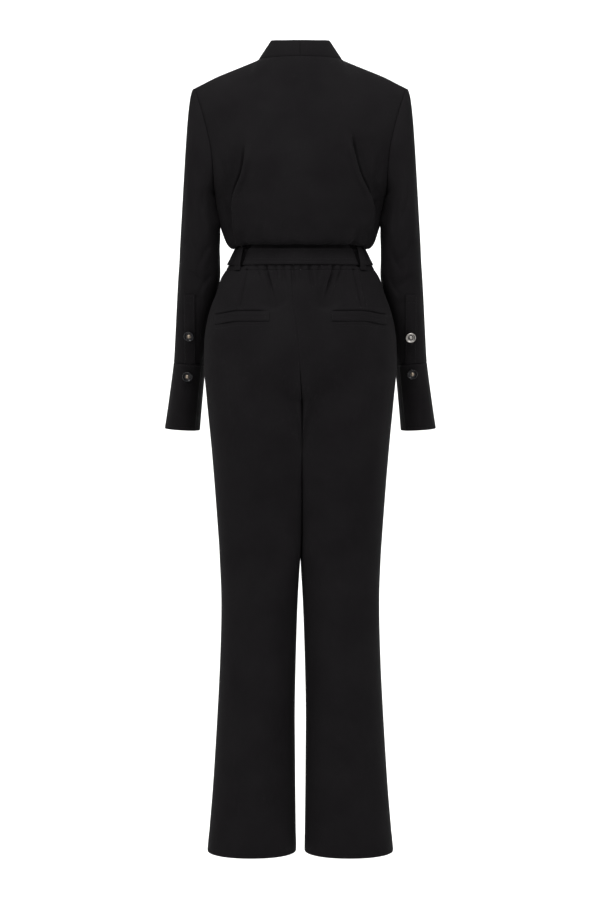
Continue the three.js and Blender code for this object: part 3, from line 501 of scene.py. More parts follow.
backLegFolds = {
    # x0 z0 x1 z1 bend width depth
    "left": [
        (50, -400, 47, -470, 3, 8, 0.9), (140, -430, 120, -520, 4, 14, 0.9),
        (68, -395, 34, -450, -8, 8, 1.2),
        (150, -600, 110, -700, 6, 16, 0.8),
        (60, -700, 66, -980, 6, 16, 0.9), (110, -720, 104, -1020, -5, 18, 0.8),
        (30, -880, 60, -960, 4, 12, 0.9), (130, -900, 100, -990, -4, 13, 0.9),
        (84, -1040, 92, -1440, 4, 20, 1.0), (40, -1100, 34, -1450, 3, 16, 0.9),
        (130, -1080, 144, -1450, 3, 18, 1.0),
    ],
    "right": [
        (-47, -400, -45, -470, -3, 8, 0.9), (-140, -425, -124, -520, -4, 14, 0.9),
        (-72, -395, -38, -446, 8, 8, 1.2),
        (-150, -612, -114, -706, -6, 16, 0.8),
        (-64, -710, -70, -990, -6, 16, 0.9), (-112, -730, -100, -1010, 5, 18, 0.8),
        (-34, -890, -64, -970, -4, 12, 0.9), (-130, -910, -98, -1000, 4, 13, 0.9),
        (-88, -1050, -96, -1440, -4, 20, 1.0), (-42, -1110, -36, -1450, -3, 16, 0.9),
        (-134, -1090, -148, -1450, -3, 18, 1.0),
    ],
}
frontLegFolds = [
    (4, -560, 60, -600, 6, 9, 1.2), (6, -596, 70, -660, 8, 9, 1.1), (150, -560, 100, -640, 6, 14, 0.9),
    (70, -420, 66, -520, 3, 14, 0.8), (80, -700, 84, -1460, 0, 5, 0.9), (40, -880, 70, -960, 4, 12, 1.0),
    (130, -900, 100, -980, -4, 13, 1.0), (120, -1100, 132, -1450, 3, 18, 0.9),
    (36, -1120, 32, -1450, 3, 16, 0.9),
]


# Meshes

def gridNormals(points, outward, closed):
    if closed:
        wide = np.concatenate([points[:, -1:], points, points[:, :1]], axis=1)
        across = (wide[:, 2:] - wide[:, :-2])
    else:
        across = np.gradient(points, axis=1)
    along = np.gradient(points, axis=0)
    normals = np.cross(across, along) * outward
    size = np.linalg.norm(normals, axis=-1, keepdims=True)
    return normals / np.maximum(size, 1e-9)


def edgeRoll(points, edges, depth, width):      # the cloth turns in a little at its seams
    stepU = np.linalg.norm(np.diff(points, axis=1), axis=-1)
    stepV = np.linalg.norm(np.diff(points, axis=0), axis=-1)
    fromLeft = np.pad(np.cumsum(stepU, axis=1), ((0, 0), (1, 0)))
    fromFoot = np.pad(np.cumsum(stepV, axis=0), ((1, 0), (0, 0)))
    far = {"left": fromLeft, "right": fromLeft[:, -1:] - fromLeft,
           "start": fromFoot, "end": fromFoot[-1:] - fromFoot}
    return -depth * np.max([hill(far[edge], width) for edge in edges], axis=0)


def shellMesh(name, outer, inner, closed):
    rows, columns = outer.shape[:2]
    vertices = np.concatenate([outer.reshape(-1, 3), inner.reshape(-1, 3)]) * mm
    layer = rows * columns
    index = np.arange(layer).reshape(rows, columns)
    if closed:
        index = np.concatenate([index, index[:, :1]], axis=1)
    a, b, c, d = index[:-1, :-1], index[:-1, 1:], index[1:, 1:], index[1:, :-1]
    faces = [np.stack([a, b, c, d], -1).reshape(-1, 4), np.stack([a, d, c, b], -1).reshape(-1, 4) + layer]
    for line, flip in ((index[0], False), (index[-1], True)):
        near, far = line[:-1], line[1:]
        quad = np.stack([near, near + layer, far + layer, far], -1)
        faces.append(quad[:, ::-1] if flip else quad)
    if not closed:
        for line, flip in ((index[:, 0], True), (index[:, -1], False)):
            near, far = line[:-1], line[1:]
            quad = np.stack([near, near + layer, far + layer, far], -1)
            faces.append(quad[:, ::-1] if flip else quad)
    faces = np.concatenate(faces)
    volume = np.einsum("ij,ij->i", vertices[faces[:, 0]],
                       np.cross(vertices[faces[:, 1]], vertices[faces[:, 2]])
                       + np.cross(vertices[faces[:, 2]], vertices[faces[:, 3]])).sum()
    if volume < 0:
        faces = faces[:, ::-1]
    mesh = bpy.data.meshes.new(name)
    mesh.from_pydata(vertices.tolist(), [], faces.tolist())
    mesh.update()
    return mesh


def grainMap(mesh, outer, closed):      # the weave's own coordinates, in metres along the cloth
    rows, columns = outer.shape[:2]
    middle = outer[rows // 2]
    side = outer[:, columns // 2]
    u = np.concatenate([[0], np.cumsum(np.linalg.norm(np.diff(middle, axis=0), axis=-1))])
    v = np.concatenate([[0], np.cumsum(np.linalg.norm(np.diff(side, axis=0), axis=-1))])
    place = np.stack(np.meshgrid(u, v), -1).reshape(-1, 2) * mm
    place = np.concatenate([place, place])
    corner = np.empty(len(mesh.loops), np.int32)
    mesh.loops.foreach_get("vertex_index", corner)
    layer = mesh.uv_layers.new(name="grain")
    layer.data.foreach_set("uv", place[corner].astype(np.float32).ravel())


def addPiece(name, mesh, material, nodes=()):
    piece = bpy.data.objects.new(name, mesh)
    bpy.context.scene.collection.objects.link(piece)
    for each in material if isinstance(material, (list, tuple)) else [material]:
        mesh.materials.append(each)
    mesh.polygons.foreach_set("use_smooth", np.ones(len(mesh.polygons), bool))
    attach(piece, "root")
    if nodes:
        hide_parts(*nodes)
    return piece


def seamLean(points, side):     # slants the faces that meet at a seam, so no light comes through
    lean = np.zeros_like(points)
    lean[..., 0] = 0.5 * hill(points[..., 0], 6) + side
    lean[..., 1] = 0.5 * hill(points[..., 1], 6) * (1 - hill(points[..., 0], 20))
    return lean


def clothPiece(name, points, outward, relief=0, edges=(), closed=False, thick=1.3, roll=0.6,
               rollWidth=1.5, keep=None, cut=None, held="draped", rests=(), lean=0, middle=None,
               stands=True):
    normals = gridNormals(points, outward, closed)
    move = relief + (edgeRoll(points, edges, roll, rollWidth) if edges else 0)
    outer = points + normals * np.broadcast_to(move, points.shape[:2])[..., None]
    normals = gridNormals(outer, outward, closed)
    inner = outer - normals * thick
    if keep:
        outer, inner = keep(outer), keep(inner)
    if middle:          # the edge of a seam at the middle stays on the seam's own plane
        outer[middle + (0,)] = inner[middle + (0,)] = points[middle + (0,)]
    inner = inner + seamLean(outer, lean)
    mesh = shellMesh(name, outer, inner, closed)
    grainMap(mesh, outer, closed)
    piece = addPiece(name, mesh, crepe, nodes=[name] if stands else ())
    return piece, outer, normals


# Stitching: each stitch is a small raised bar of thread that goes into the cloth at both ends

stitch = {"length": 2.4, "pitch": 3.0, "radius": 0.24, "rise": 0.14, "sink": 0.2, "sides": 6}


def stitchRow(path, normals, trim=1.0):
    s = np.concatenate([[0], np.cumsum(np.linalg.norm(np.diff(path, axis=0), axis=-1))])
    count = max(int((s[-1] - 2 * trim) / stitch["pitch"]), 1)
    start = (s[-1] - count * stitch["pitch"]) / 2 + np.arange(count) * stitch["pitch"]
    at = start[:, None] + stitch["length"] * np.array([0, 0.2, 0.5, 0.8, 1])
    place = np.stack([np.interp(at, s, path[:, k]) for k in range(3)], -1)
    up = np.stack([np.interp(at, s, normals[:, k]) for k in range(3)], -1)
    along = np.gradient(place, axis=1)
    along /= np.linalg.norm(along, axis=-1, keepdims=True)
    up /= np.linalg.norm(up, axis=-1, keepdims=True)
    side = np.cross(along, up)
    place = place + up * mix(-stitch["sink"], stitch["rise"], np.array([0, 0.8, 1, 0.8, 0]))[:, None]
    thick = stitch["radius"] * np.array([0.4, 0.95, 1, 0.95, 0.4])[:, None, None]
    turn = np.arange(stitch["sides"]) / stitch["sides"] * 2 * pi
    across, raised = np.cos(turn)[:, None] * thick, np.sin(turn)[:, None] * thick * 0.85
    return place[:, :, None] + side[:, :, None] * across + up[:, :, None] * raised


def sewPiece(name, rows):
    rings = np.concatenate(rows)
    vertices = rings.reshape(-1, 3) * mm
    index = np.arange(len(vertices)).reshape(rings.shape[:3])
    after = np.roll(index, -1, axis=2)
    sides = np.stack([index[:, :-1], index[:, 1:], after[:, 1:], after[:, :-1]], -1).reshape(-1, 4)
    mesh = bpy.data.meshes.new(name)
    faces = sides.tolist() + index[:, 0].tolist() + index[:, -1, ::-1].tolist()
    mesh.from_pydata(vertices.tolist(), [], faces)
    addPiece(name, mesh, thread)


def nearest(values, target):
    return int(np.argmin(np.abs(np.asarray(values) - target)))


# Materials

def linear(code):
    parts = [int(code[i:i + 2], 16) / 255 for i in (1, 3, 5)]
    return tuple(p / 12.92 if p <= 0.04045 else ((p + 0.055) / 1.055) ** 2.4 for p in parts) + (1.0,)


def addNode(tree, kind, settings=None, **links):
    node = tree.nodes.new(kind)
    for key, value in (settings or {}).items():
        if isinstance(key, str) and hasattr(node, key):
            setattr(node, key, value)
        else:
            node.inputs[key].default_value = value
    for key, source in links.items():
        target = node.inputs[int(key[2:])] if key.startswith("in") else node.inputs[key.replace("_", " ")]
        tree.links.new(source, target)
    return node


def newMaterial(name, settings):
    material = bpy.data.materials.new(name)
    material.use_nodes = True
    tree = material.node_tree
    tree.nodes.clear()
    shader = addNode(tree, "ShaderNodeBsdfPrincipled", settings)
    addNode(tree, "ShaderNodeOutputMaterial", None, Surface=shader.outputs[0])
    return material, tree, shader


def makeCrepe():
    # Polyester crepe suiting: hard-twisted yarns woven plain, which gives a dry, matt, slightly pebbled face
    # The pebble and rib are in mm, drawn coarser than the 0.3 mm yarns, which are too fine to show
    look = {"dark": "#070607", "light": "#0a090a", "pebble": 2.2, "rib": 1.6}
    material, tree, shader = newMaterial("wovenBlackCrepe", {
        "Roughness": 0.9, "IOR": 1.45, "Specular IOR Level": 0.05,
        "Sheen Weight": 0.012, "Sheen Roughness": 0.6, "Sheen Tint": linear("#8c8a8c"),
    })
    place = addNode(tree, "ShaderNodeTexCoord")
    slow = addNode(tree, "ShaderNodeTexNoise", {"Scale": 14.0, "Detail": 3.0},
                   Vector=place.outputs["Object"])
    ramp = addNode(tree, "ShaderNodeValToRGB", None, Fac=slow.outputs["Fac"])
    ramp.color_ramp.elements[0].color = linear(look["dark"])
    ramp.color_ramp.elements[1].color = linear(look["light"])
    ramp.color_ramp.elements[0].position = 0.3
    ramp.color_ramp.elements[1].position = 0.7
    tree.links.new(ramp.outputs["Color"], shader.inputs["Base Color"])
    pebble = addNode(tree, "ShaderNodeTexNoise", {
        "Scale": 1000 / look["pebble"], "Detail": 2.0, "Roughness": 0.6,
    }, Vector=place.outputs["UV"])
    rib = addNode(tree, "ShaderNodeTexWave", {
        "bands_direction": "DIAGONAL", "Scale": 314 / look["rib"] / 2, "Distortion": 1.5, "Detail": 1.0,
    }, Vector=place.outputs["UV"])
    both = addNode(tree, "ShaderNodeMath", {"operation": "MULTIPLY_ADD", 1: 0.35},
                   in0=rib.outputs["Fac"], in2=pebble.outputs["Fac"])
    bump = addNode(tree, "ShaderNodeBump", {"Strength": 0.35, "Distance": 0.0004}, Height=both.outputs[0])
    tree.links.new(bump.outputs["Normal"], shader.inputs["Normal"])
    return material


def makeThread():
    # Spun polyester thread: twisted, so it catches a little more light than the cloth
    material, tree, shader = newMaterial("spunBlackThread", {
        "Base Color": linear("#0c0b0c"), "Roughness": 0.7, "IOR": 1.5, "Specular IOR Level": 0.08,
        "Sheen Weight": 0.02, "Sheen Roughness": 0.4,
    })
    place = addNode(tree, "ShaderNodeTexCoord")
    twist = addNode(tree, "ShaderNodeTexNoise", {"Scale": 2500.0}, Vector=place.outputs["Object"])
    bump = addNode(tree, "ShaderNodeBump", {"Strength": 0.4, "Distance": 0.0001},
                   Height=twist.outputs["Fac"])
    tree.links.new(bump.outputs["Normal"], shader.inputs["Normal"])
    return material


def makeResin():
    # Cast polyester resin, tumbled to a gloss: deep black with sharp highlights and faint tumbling marks
    material, tree, shader = newMaterial("tumbledBlackPolyesterResin", {
        "Base Color": linear("#08080a"), "IOR": 1.56, "Specular IOR Level": 0.1,
    })
    place = addNode(tree, "ShaderNodeTexCoord")
    marks = addNode(tree, "ShaderNodeTexNoise", {"Scale": 700.0, "Detail": 4.0},
                    Vector=place.outputs["Object"])
    dull = addNode(tree, "ShaderNodeMapRange", {"To Min": 0.12, "To Max": 0.26}, Value=marks.outputs["Fac"])
    tree.links.new(dull.outputs[0], shader.inputs["Roughness"])
    return material


def makePaintedHighlightNickel():
    # Nickel-plated brass, polished to a satin: a warm pale metal with soft highlights and tiny scuffs. It is
    # a painted highlight: only one button gets it, on its rim and dome. The four buttons are alike, and this
    # makes that one show paler than the others, for the light it caught
    material, tree, shader = newMaterial("satinNickelPaintedHighlight", {
        "Base Color": linear("#7a7774"), "Metallic": 1.0,
    })
    place = addNode(tree, "ShaderNodeTexCoord")
    scuffs = addNode(tree, "ShaderNodeTexNoise", {"Scale": 1200.0, "Detail": 3.0},
                     Vector=place.outputs["Object"])
    dull = addNode(tree, "ShaderNodeMapRange", {"To Min": 0.3, "To Max": 0.42}, Value=scuffs.outputs["Fac"])
    tree.links.new(dull.outputs[0], shader.inputs["Roughness"])
    return material


def makeBrass():
    # Antiqued brass, brushed back by hand: a dull brown metal, lighter where it is rubbed
    material, tree, shader = newMaterial("antiquedRubbedBrass", {"Metallic": 1.0, "Roughness": 0.3})
    place = addNode(tree, "ShaderNodeTexCoord")
    rubbed = addNode(tree, "ShaderNodeTexNoise", {"Scale": 900.0, "Detail": 3.0},
                     Vector=place.outputs["Object"])
    ramp = addNode(tree, "ShaderNodeValToRGB", None, Fac=rubbed.outputs["Fac"])
    ramp.color_ramp.elements[0].color = linear("#5a5045")
    ramp.color_ramp.elements[1].color = linear("#7d7367")
    tree.links.new(ramp.outputs["Color"], shader.inputs["Base Color"])
    return material


def makePlaster():
    # Matt emulsion on a smooth studio floor and wall: even, pale and without gloss
    material, tree, shader = newMaterial("matWhiteEmulsion", {
        "Roughness": 0.95, "IOR": 1.45, "Specular IOR Level": 0.1,
    })
    place = addNode(tree, "ShaderNodeTexCoord")
    patch = addNode(tree, "ShaderNodeTexNoise", {"Scale": 1.5}, Vector=place.outputs["Object"])
    ramp = addNode(tree, "ShaderNodeValToRGB", None, Fac=patch.outputs["Fac"])
    ramp.color_ramp.elements[0].color = linear("#f3f3f3")
    ramp.color_ramp.elements[1].color = linear("#f6f6f6")
    tree.links.new(ramp.outputs["Color"], shader.inputs["Base Color"])
    return material


crepe = makeCrepe()
thread = makeThread()
resin = makeResin()
paintedHighlightNickel = makePaintedHighlightNickel()
brass = makeBrass()
plaster = makePlaster()
print("materials made")


# Making the bodice

bodice = {
    "backColumns": 150, "frontColumns": 54, "footRows": 22, "lowRows": 38, "highRows": 90,
    "lean": 0.6,                # how far the cloth slants under itself at the armhole
    "frontShift": 5,            # the right half's folds sit this much further out
    "backCut": ((0.50, 0.46), 0.150), "frontCut": ((0.26, 0.42), 0.068),     # width, length and area
}


def keepSide(side):
    def keep(points):
        out = points.copy()
        out[..., 0] = side * np.maximum(side * out[..., 0], halfGap)
        return out
    return keep


def keepBack(points):
    out = points.copy()
    out[..., 1] = np.maximum(out[..., 1], halfGap)
    return out


def keepFront(side):
    def keep(points):
        out = keepSide(side)(points)
        out[..., 1] = np.minimum(out[..., 1], -halfGap)
        return out
    return keep


def calm(up):                   # folds die out towards the waist and the shoulder
    return smooth(0, 0.03, up) * (1 - smooth(0.93, 1, up))


def bodiceLevels():
    foot = np.linspace(0, 0.2, bodice["footRows"]) * bodiceSplit
    low = np.linspace(0.2, 1, bodice["lowRows"]) * bodiceSplit
    high = mix(bodiceSplit, 1, np.linspace(0, 1, bodice["highRows"]))
    return np.unique(np.concatenate([foot, low, high, [0.997, 0.999]]))


def makeBackBodice(levels):
    across, up = np.meshgrid(shares(bodice["backColumns"], edgeShares), levels)
    points = backBodicePoint(across, up)
    off = np.abs(across * 2 - 1)        # 0 at the middle of the back, 1 at its sides
    relief = (1 - smooth(0.93, 0.995, off)) * creases(points[..., 0], points[..., 2], backFolds["creases"])
    relief += (1 - smooth(0.8, 0.98, off)) * backRelief(points[..., 0], points[..., 2])
    atArmhole = smooth(bodiceSplit, bodiceSplit + 0.01, up) * (hill(1 - across, 0.01) - hill(across, 0.01))
    clothPiece("back_bodice", points, -1, calm(up) * relief, ("left", "right", "end"),
               cut=bodice["backCut"], lean=bodice["lean"] * atArmhole, keep=keepBack)


def makeFrontBodice(levels):
    across, up = np.meshgrid(shares(bodice["frontColumns"], edgeShares), levels)
    for side, name in ((1, "front_bodice_left"), (-1, "front_bodice_right")):
        points = frontBodicePoint(side, across, up)
        shift = 0 if side > 0 else bodice["frontShift"]
        relief = calm(up) * (1 - smooth(0.92, 0.995, across))
        relief *= creases(side * points[..., 0] + shift, points[..., 2], frontFolds)
        atArmhole = side * smooth(bodiceSplit, bodiceSplit + 0.01, up) * hill(1 - across, 0.02)
        clothPiece(name, points, side, relief, ("left", "right", "end"), cut=bodice["frontCut"],
                   lean=bodice["lean"] * atArmhole, keep=keepFront(side), middle=(slice(None), 0))


allowance = {
    "depth": 2.7, "thick": 0.7, "armholeCut": ((0.011, 0.47), 0.0045), "neckCut": ((0.017, 0.42), 0.0060),
}


def makeAllowance(name, body, seam, other, side, closed, cut):      # inside, a seam's two pressed edges
    points = np.stack([body, mix(body, seam, 0.6), seam, mix(seam, other, 0.4), other]) * (side, 1, 1)
    points = points - gridNormals(points, -side, closed) * allowance["depth"]
    clothPiece(name, points, -side, closed=closed, thick=allowance["thick"], stands=False, cut=cut)


def makeArmholeAllowance(side, word):
    turn = np.linspace(0, 360, 181)[:-1]
    behind = upperBack(0.978 + 0 * turn, np.clip(1 - turn / 180, 0, 1))
    before = upperFront(0.965 + 0 * turn, np.clip((turn - 180) / 180, 0, 1))
    body = np.where((turn < 180)[:, None], behind, before)
    seam = np.stack([armhole[k](turn) for k in "xyz"], axis=-1)
    sleeve = sleevePoint(1, turn, 0.016 + 0 * turn)
    makeAllowance("armhole_allowance_" + word, body, seam, sleeve, side, True, allowance["armholeCut"])


def makeNeckAllowance(side, word):
    s = np.linspace(0, 0.96, 120)
    behind = upperBack(np.clip(neckShare * s / bandTurn, 0, 1), 0.975 + 0 * s)
    before = upperFront(0.06 + 0 * s, np.clip(1 - (s - bandTurn) / (1 - bandTurn), 0, 1))
    body = np.where((s < bandTurn)[:, None], behind, before)
    band = neckbandPoint(1, s, 0.16 + 0 * s)
    makeAllowance("neck_allowance_" + word, body, neckSeam(s), band, side, False, allowance["neckCut"])


neckband = {
    "columns": 16, "backRows": 60, "frontRows": 80,
    "cloth": {"thick": 1.8, "roll": 0.5, "cut": ((0.055, 0.40), 0.0098)},
}


def makeNeckband():
    s = np.unique(np.concatenate([np.linspace(0, 0.42, neckband["backRows"]),
                                  np.linspace(0.42, 0.965, neckband["frontRows"])]))
    up, along = np.meshgrid(shares(neckband["columns"], (0.01, 0.03)), s)
    for side, name in ((1, "neckband_left"), (-1, "neckband_right")):
        clothPiece(name, neckbandPoint(side, along, up), side, 0, ("left", "right", "start"),
                   keep=keepSide(side), middle=(0, slice(None)), **neckband["cloth"])


# Making the sleeves

sleeve = {
    "around": 132, "headRows": 44, "armRows": 100, "lean": 0.6, "cut": ((0.36, 0.55), 0.158),
    "tuck": 7.2, "tuckTurn": 156, "tuckTop": -246, "tuckFoot": -322,    # where it lies against the bodice
}


def rightSleeveFolds():         # alike, but not mirrored
    return [(a, b - 6, c + 3, d - 4, -bend, width, 0.9 * depth)
            for a, b, c, d, bend, width, depth in sleeveFolds]


def makeSleeve(side, word):
    turns = np.linspace(0, 360, sleeve["around"] + 1)[:-1]
    split = sleeveSizes["split"]
    head = np.linspace(0, split, sleeve["headRows"])
    arm = np.linspace(split, 1, sleeve["armRows"])
    turn, down = np.meshgrid(turns, np.unique(np.concatenate([head, arm, [0.0015, 0.003, 0.998]])))
    points = sleevePoint(side, turn, down)
    z = points[..., 2].copy()
    folds = creases(turn, z, sleeveFolds if side > 0 else rightSleeveFolds())
    relief = smooth(0, 0.12, down) * (1 - smooth(0.95, 1, down)) * folds
    top, foot = sleeve["tuckTop"], sleeve["tuckFoot"]
    tucked = hill(turn - sleeve["tuckTurn"], 17) * smooth(0.0, 0.06, down)
    tucked = tucked * smooth(top, top - 20, z) * (1 - smooth(foot + 22, foot, z))
    points[..., 0] -= side * sleeve["tuck"] * tucked
    clothPiece("sleeve_" + word, points, -side, relief, ("start", "end"), closed=True,
               lean=sleeve["lean"] * side * hill(down, 0.006), cut=sleeve["cut"])


cuff = {
    "columns": 150, "rows": 42, "lapRise": 0.6,
    "topStitch": 4, "hemStitch": 5.5, "lapStitch": 3.6,     # in from each edge
    "folds": [
        # turn0 z0 turn1 z1 bend width depth
        (60, -590, 80, -680, 3, 9, 0.5), (-60, -580, -40, -684, -4, 10, 0.7),
        (-140, -575, -150, -680, 3, 10, 0.7), (20, -575, 24, -684, 2, 9, 0.5),
    ],
    "cloth": {"thick": 1.6, "roll": 0.5, "rollWidth": 1.2, "cut": ((0.30, 0.125), 0.0362)},
}


def makeCuff(side, word):
    size = sleeveSizes
    swept = np.linspace(0, 360 + size["lapTurn"], cuff["columns"])
    turns = size["slitTurn"] - size["lapTurn"] + swept - 360
    raised = (size["cloth"] + cuff["lapRise"]) * smooth(360 - 62, 360 - 14, swept)
    z = mix(size["cuffTop"] - 0.3, size["cuffBottom"], shares(cuff["rows"], (0.006, 0.012, 0.02)))
    turn, height = np.meshgrid(turns, z)
    points = cuffPoint(side, turn, height, np.broadcast_to(raised, turn.shape))
    _, outer, normals = clothPiece("cuff_" + word, points, -side, creases(turn, height, cuff["folds"]),
                                   ("left", "right", "start", "end"), **cuff["cloth"])
    top = nearest(z, size["cuffTop"] - cuff["topStitch"])
    hem = nearest(z, size["cuffBottom"] + cuff["hemStitch"])
    lap = nearest(swept, swept[-1] - cuff["lapStitch"])
    rows = [stitchRow(outer[k, 2:lap], normals[k, 2:lap]) for k in (top, hem)]
    rows.append(stitchRow(outer[top:hem + 1, lap], normals[top:hem + 1, lap]))
    sewPiece("cuff_stitching_" + word, rows)


placket = {
    "top": -434.5, "foot": -562.2, "inner": 193.5, "outer": 213.6, "out": 2.4,
    "columns": 10, "rows": 60, "topStitch": -436.5, "boxStitch": -449,
    "cloth": {"thick": 1.5, "roll": 0.5, "rollWidth": 1.2, "cut": ((0.021, 0.130), 0.0027), "held": "laid"},
}
photoFar = 4500                 # how far off the photograph was taken


def makePlacket(side, word):
    z = mix(placket["top"], placket["foot"], shares(placket["rows"], (0.004, 0.012)))
    share = shares(placket["columns"], (0.03, 0.08))
    across, height = np.meshgrid(share, z)
    x = mix(placket["inner"], placket["outer"], across)
    x = x * (1 - (sleeveRing["y"](height) + 45) / photoFar)
    reach = np.clip((x - sleeveRing["x"](height)) / sleeveRing["across"](height), -1, 1)
    turn = np.degrees(np.arccos(np.sign(reach) * np.abs(reach) ** (1 / squareness)))
    points = cuffPoint(side, turn, height, placket["out"])
    _, outer, normals = clothPiece("placket_" + word, points, side, 0, ("left", "right", "start"),
                                   rests=["sleeve_" + word], **placket["cloth"])
    top, box = nearest(z, placket["topStitch"]), nearest(z, placket["boxStitch"])
    near, far = nearest(share, 0.1), nearest(share, 0.9)
    rows = [stitchRow(outer[top:, k], normals[top:, k]) for k in (near, far)]
    rows += [stitchRow(outer[k, near:far + 1], normals[k, near:far + 1], 0.5) for k in (top, box)]
    sewPiece("placket_stitching_" + word, rows)


# Making the waist

loopTurn = 53.2                 # where the back loops hold the belt in

waistband = {
    "top": -343.9, "columns": 420, "rows": 20, "sunk": 5.6, "sunkWidth": 2.8,
    "ripple": 0.45, "rippleLength": 11,
    "cloth": {"roll": 0.4, "cut": ((0.77, 0.045), 0.0335), "held": "gathered"},
}


def makeWaistband():
    z = mix(waistband["top"], bandSeamZ + 0.15, shares(waistband["rows"], (0.005, 0.015)))
    angle, height = np.meshgrid(np.linspace(-pi + 0.0017, pi - 0.0017, waistband["columns"]), z)
    points = waistPoint(angle, height, 0)
    behind = smooth(0.0, 0.3, np.cos(angle))
    points = pushOut(points, behind * waistRelief(points[..., 0], height))
    off = np.degrees(np.abs(angle)) - loopTurn
    sunk = -waistband["sunk"] * hill(off, waistband["sunkWidth"]) * smooth(-386, -380, height)
    x = points[..., 0]
    ripples = np.cos(x * 2 * pi / waistband["rippleLength"] + 1.4 * np.sin(x / 17))
    ripples = waistband["ripple"] * behind * ripples * smooth(-384, -389, height)
    clothPiece("waistband", points, 1, sunk + ripples, ("start", "end"), **waistband["cloth"])


belt = {
    "top": -349.6, "foot": -379.4, "lap": 0.62, "out": 3.7, "lapRise": 2.8, "columns": 360, "rows": 26,
    "lines": (-352.6, -369.5, -374.6), "lineDepth": 0.3, "slack": 0.5, "fold": 6.0, "foldWidth": 2.3,
    "cloth": {"thick": 2.0, "roll": 0.7, "rollWidth": 1.4, "cut": ((0.82, 0.030), 0.0240), "held": "laid"},
}


def makeBelt():
    swept = np.linspace(0, 2 * pi + belt["lap"], belt["columns"])
    rise = belt["lapRise"] * smooth(2 * pi - 0.75, 2 * pi - 0.12, swept)
    z = mix(belt["top"], belt["foot"], shares(belt["rows"], (0.015, 0.04, 0.08)))
    angle, height = np.meshgrid(-pi - 0.1 + swept, z)
    points = waistPoint(angle, height, belt["out"] + np.broadcast_to(rise, angle.shape))
    relief = -belt["lineDepth"] * sum(hill(height - line, 1.0) for line in belt["lines"])
    relief += belt["slack"] * np.sin(angle * 5 + 0.7) * smooth(-349, -352, height)
    relief -= belt["fold"] * hill(np.degrees(np.abs(angle)) - loopTurn, belt["foldWidth"])
    _, outer, normals = clothPiece("belt", points, 1, relief, ("left", "right", "start", "end"),
                                   rests=["waistband"], **belt["cloth"])
    levels = [nearest(z, line) for line in belt["lines"]]
    sewPiece("belt_stitching", [stitchRow(outer[k], normals[k]) for k in levels])


loop = {
    "ridge": 0.25,
    "cloth": {"thick": 1.4, "roll": 0.4, "rollWidth": 1.0, "cut": ((0.014, 0.048), 0.00060), "held": "laid"},
    "places": (
        # name, turn, lean, half width, in degrees round the waist
        ("belt_loop_back_left", 59.5, -5, 4), ("belt_loop_back_right", -59.5, 5, 4),
        ("belt_loop_front_left", 128, 4, 3.8), ("belt_loop_front_right", -128, -4, 3.8),
    ),
}
loopPath = table("t z out", [
    (0.00, -347.4, 2.0), (0.10, -347.4, 4.6), (0.20, -347.9, 6.9), (0.32, -350.3, 8.3),
    (0.50, -358.0, 8.8), (0.68, -370.0, 8.2), (0.82, -379.0, 6.9), (0.92, -384.0, 4.5),
    (1.00, -389.6, 2.4),
])


def makeLoops():
    across, down = np.meshgrid(shares(10, (0.04, 0.1)), shares(60))
    for name, angle, lean, half in loop["places"]:
        turn = angle + lean * smooth(0.1, 1, down) + mix(-half, half, across)
        points = waistPoint(np.radians(turn), loopPath["z"](down), loopPath["out"](down))
        _, outer, normals = clothPiece(name, points, 1, loop["ridge"] * np.sin(pi * across),
                                       ("left", "right"), rests=["belt"], **loop["cloth"])
        rows = [stitchRow(outer[2:-2, k], normals[2:-2, k]) for k in (2, -3)]
        rows += [stitchRow(outer[k, 1:-1], normals[k, 1:-1], 0.3) for k in (-4, -7)]
        sewPiece(name.replace("loop", "loop_stitching"), rows)


# Making the trousers

trousers = {
    "backColumns": 96, "frontColumns": 56, "waistRows": 44, "weltRows": 60, "seatRows": 40, "legRows": 80,
    "hemRoom": 38, "frontShift": 9,
    "backCut": ((0.34, 1.10), 0.290), "frontCut": ((0.27, 1.10), 0.250),
    "bagLine": 8.4,             # below the welt, a row that holds the pocket's bag
}


def trouserLevels():
    return np.concatenate([
        np.linspace(bandSeamZ - 0.15, -456, trousers["waistRows"]),
        np.linspace(-456.6, -496, trousers["weltRows"]),
        np.linspace(-498, -660, trousers["seatRows"]),
        np.linspace(-665, hemZ + 8, trousers["legRows"]),
        [hemZ + 5, hemZ + 3, hemZ + 1.5, hemZ + 0.6, hemZ],
    ])


def keepLeg(side, z):
    def keep(points):
        out = points.copy()
        line = np.where(z < -560, legLine(points), -99 * side)
        out[..., 0] = side * np.maximum(side * points[..., 0], side * line + halfGap)
        return out
    return keep


def pocketLine(side, outer, normals, levels):
    path, out = [], []
    for column in range(outer.shape[1]):
        x = side * outer[nearest(levels, welt["foot"]), column, 0]
        if 60 < x < 152:
            level = nearest(levels, welt["foot"] - trousers["bagLine"] - weltDip(x))
            path.append(outer[level, column])
            out.append(normals[level, column])
    return stitchRow(np.array(path), np.array(out))


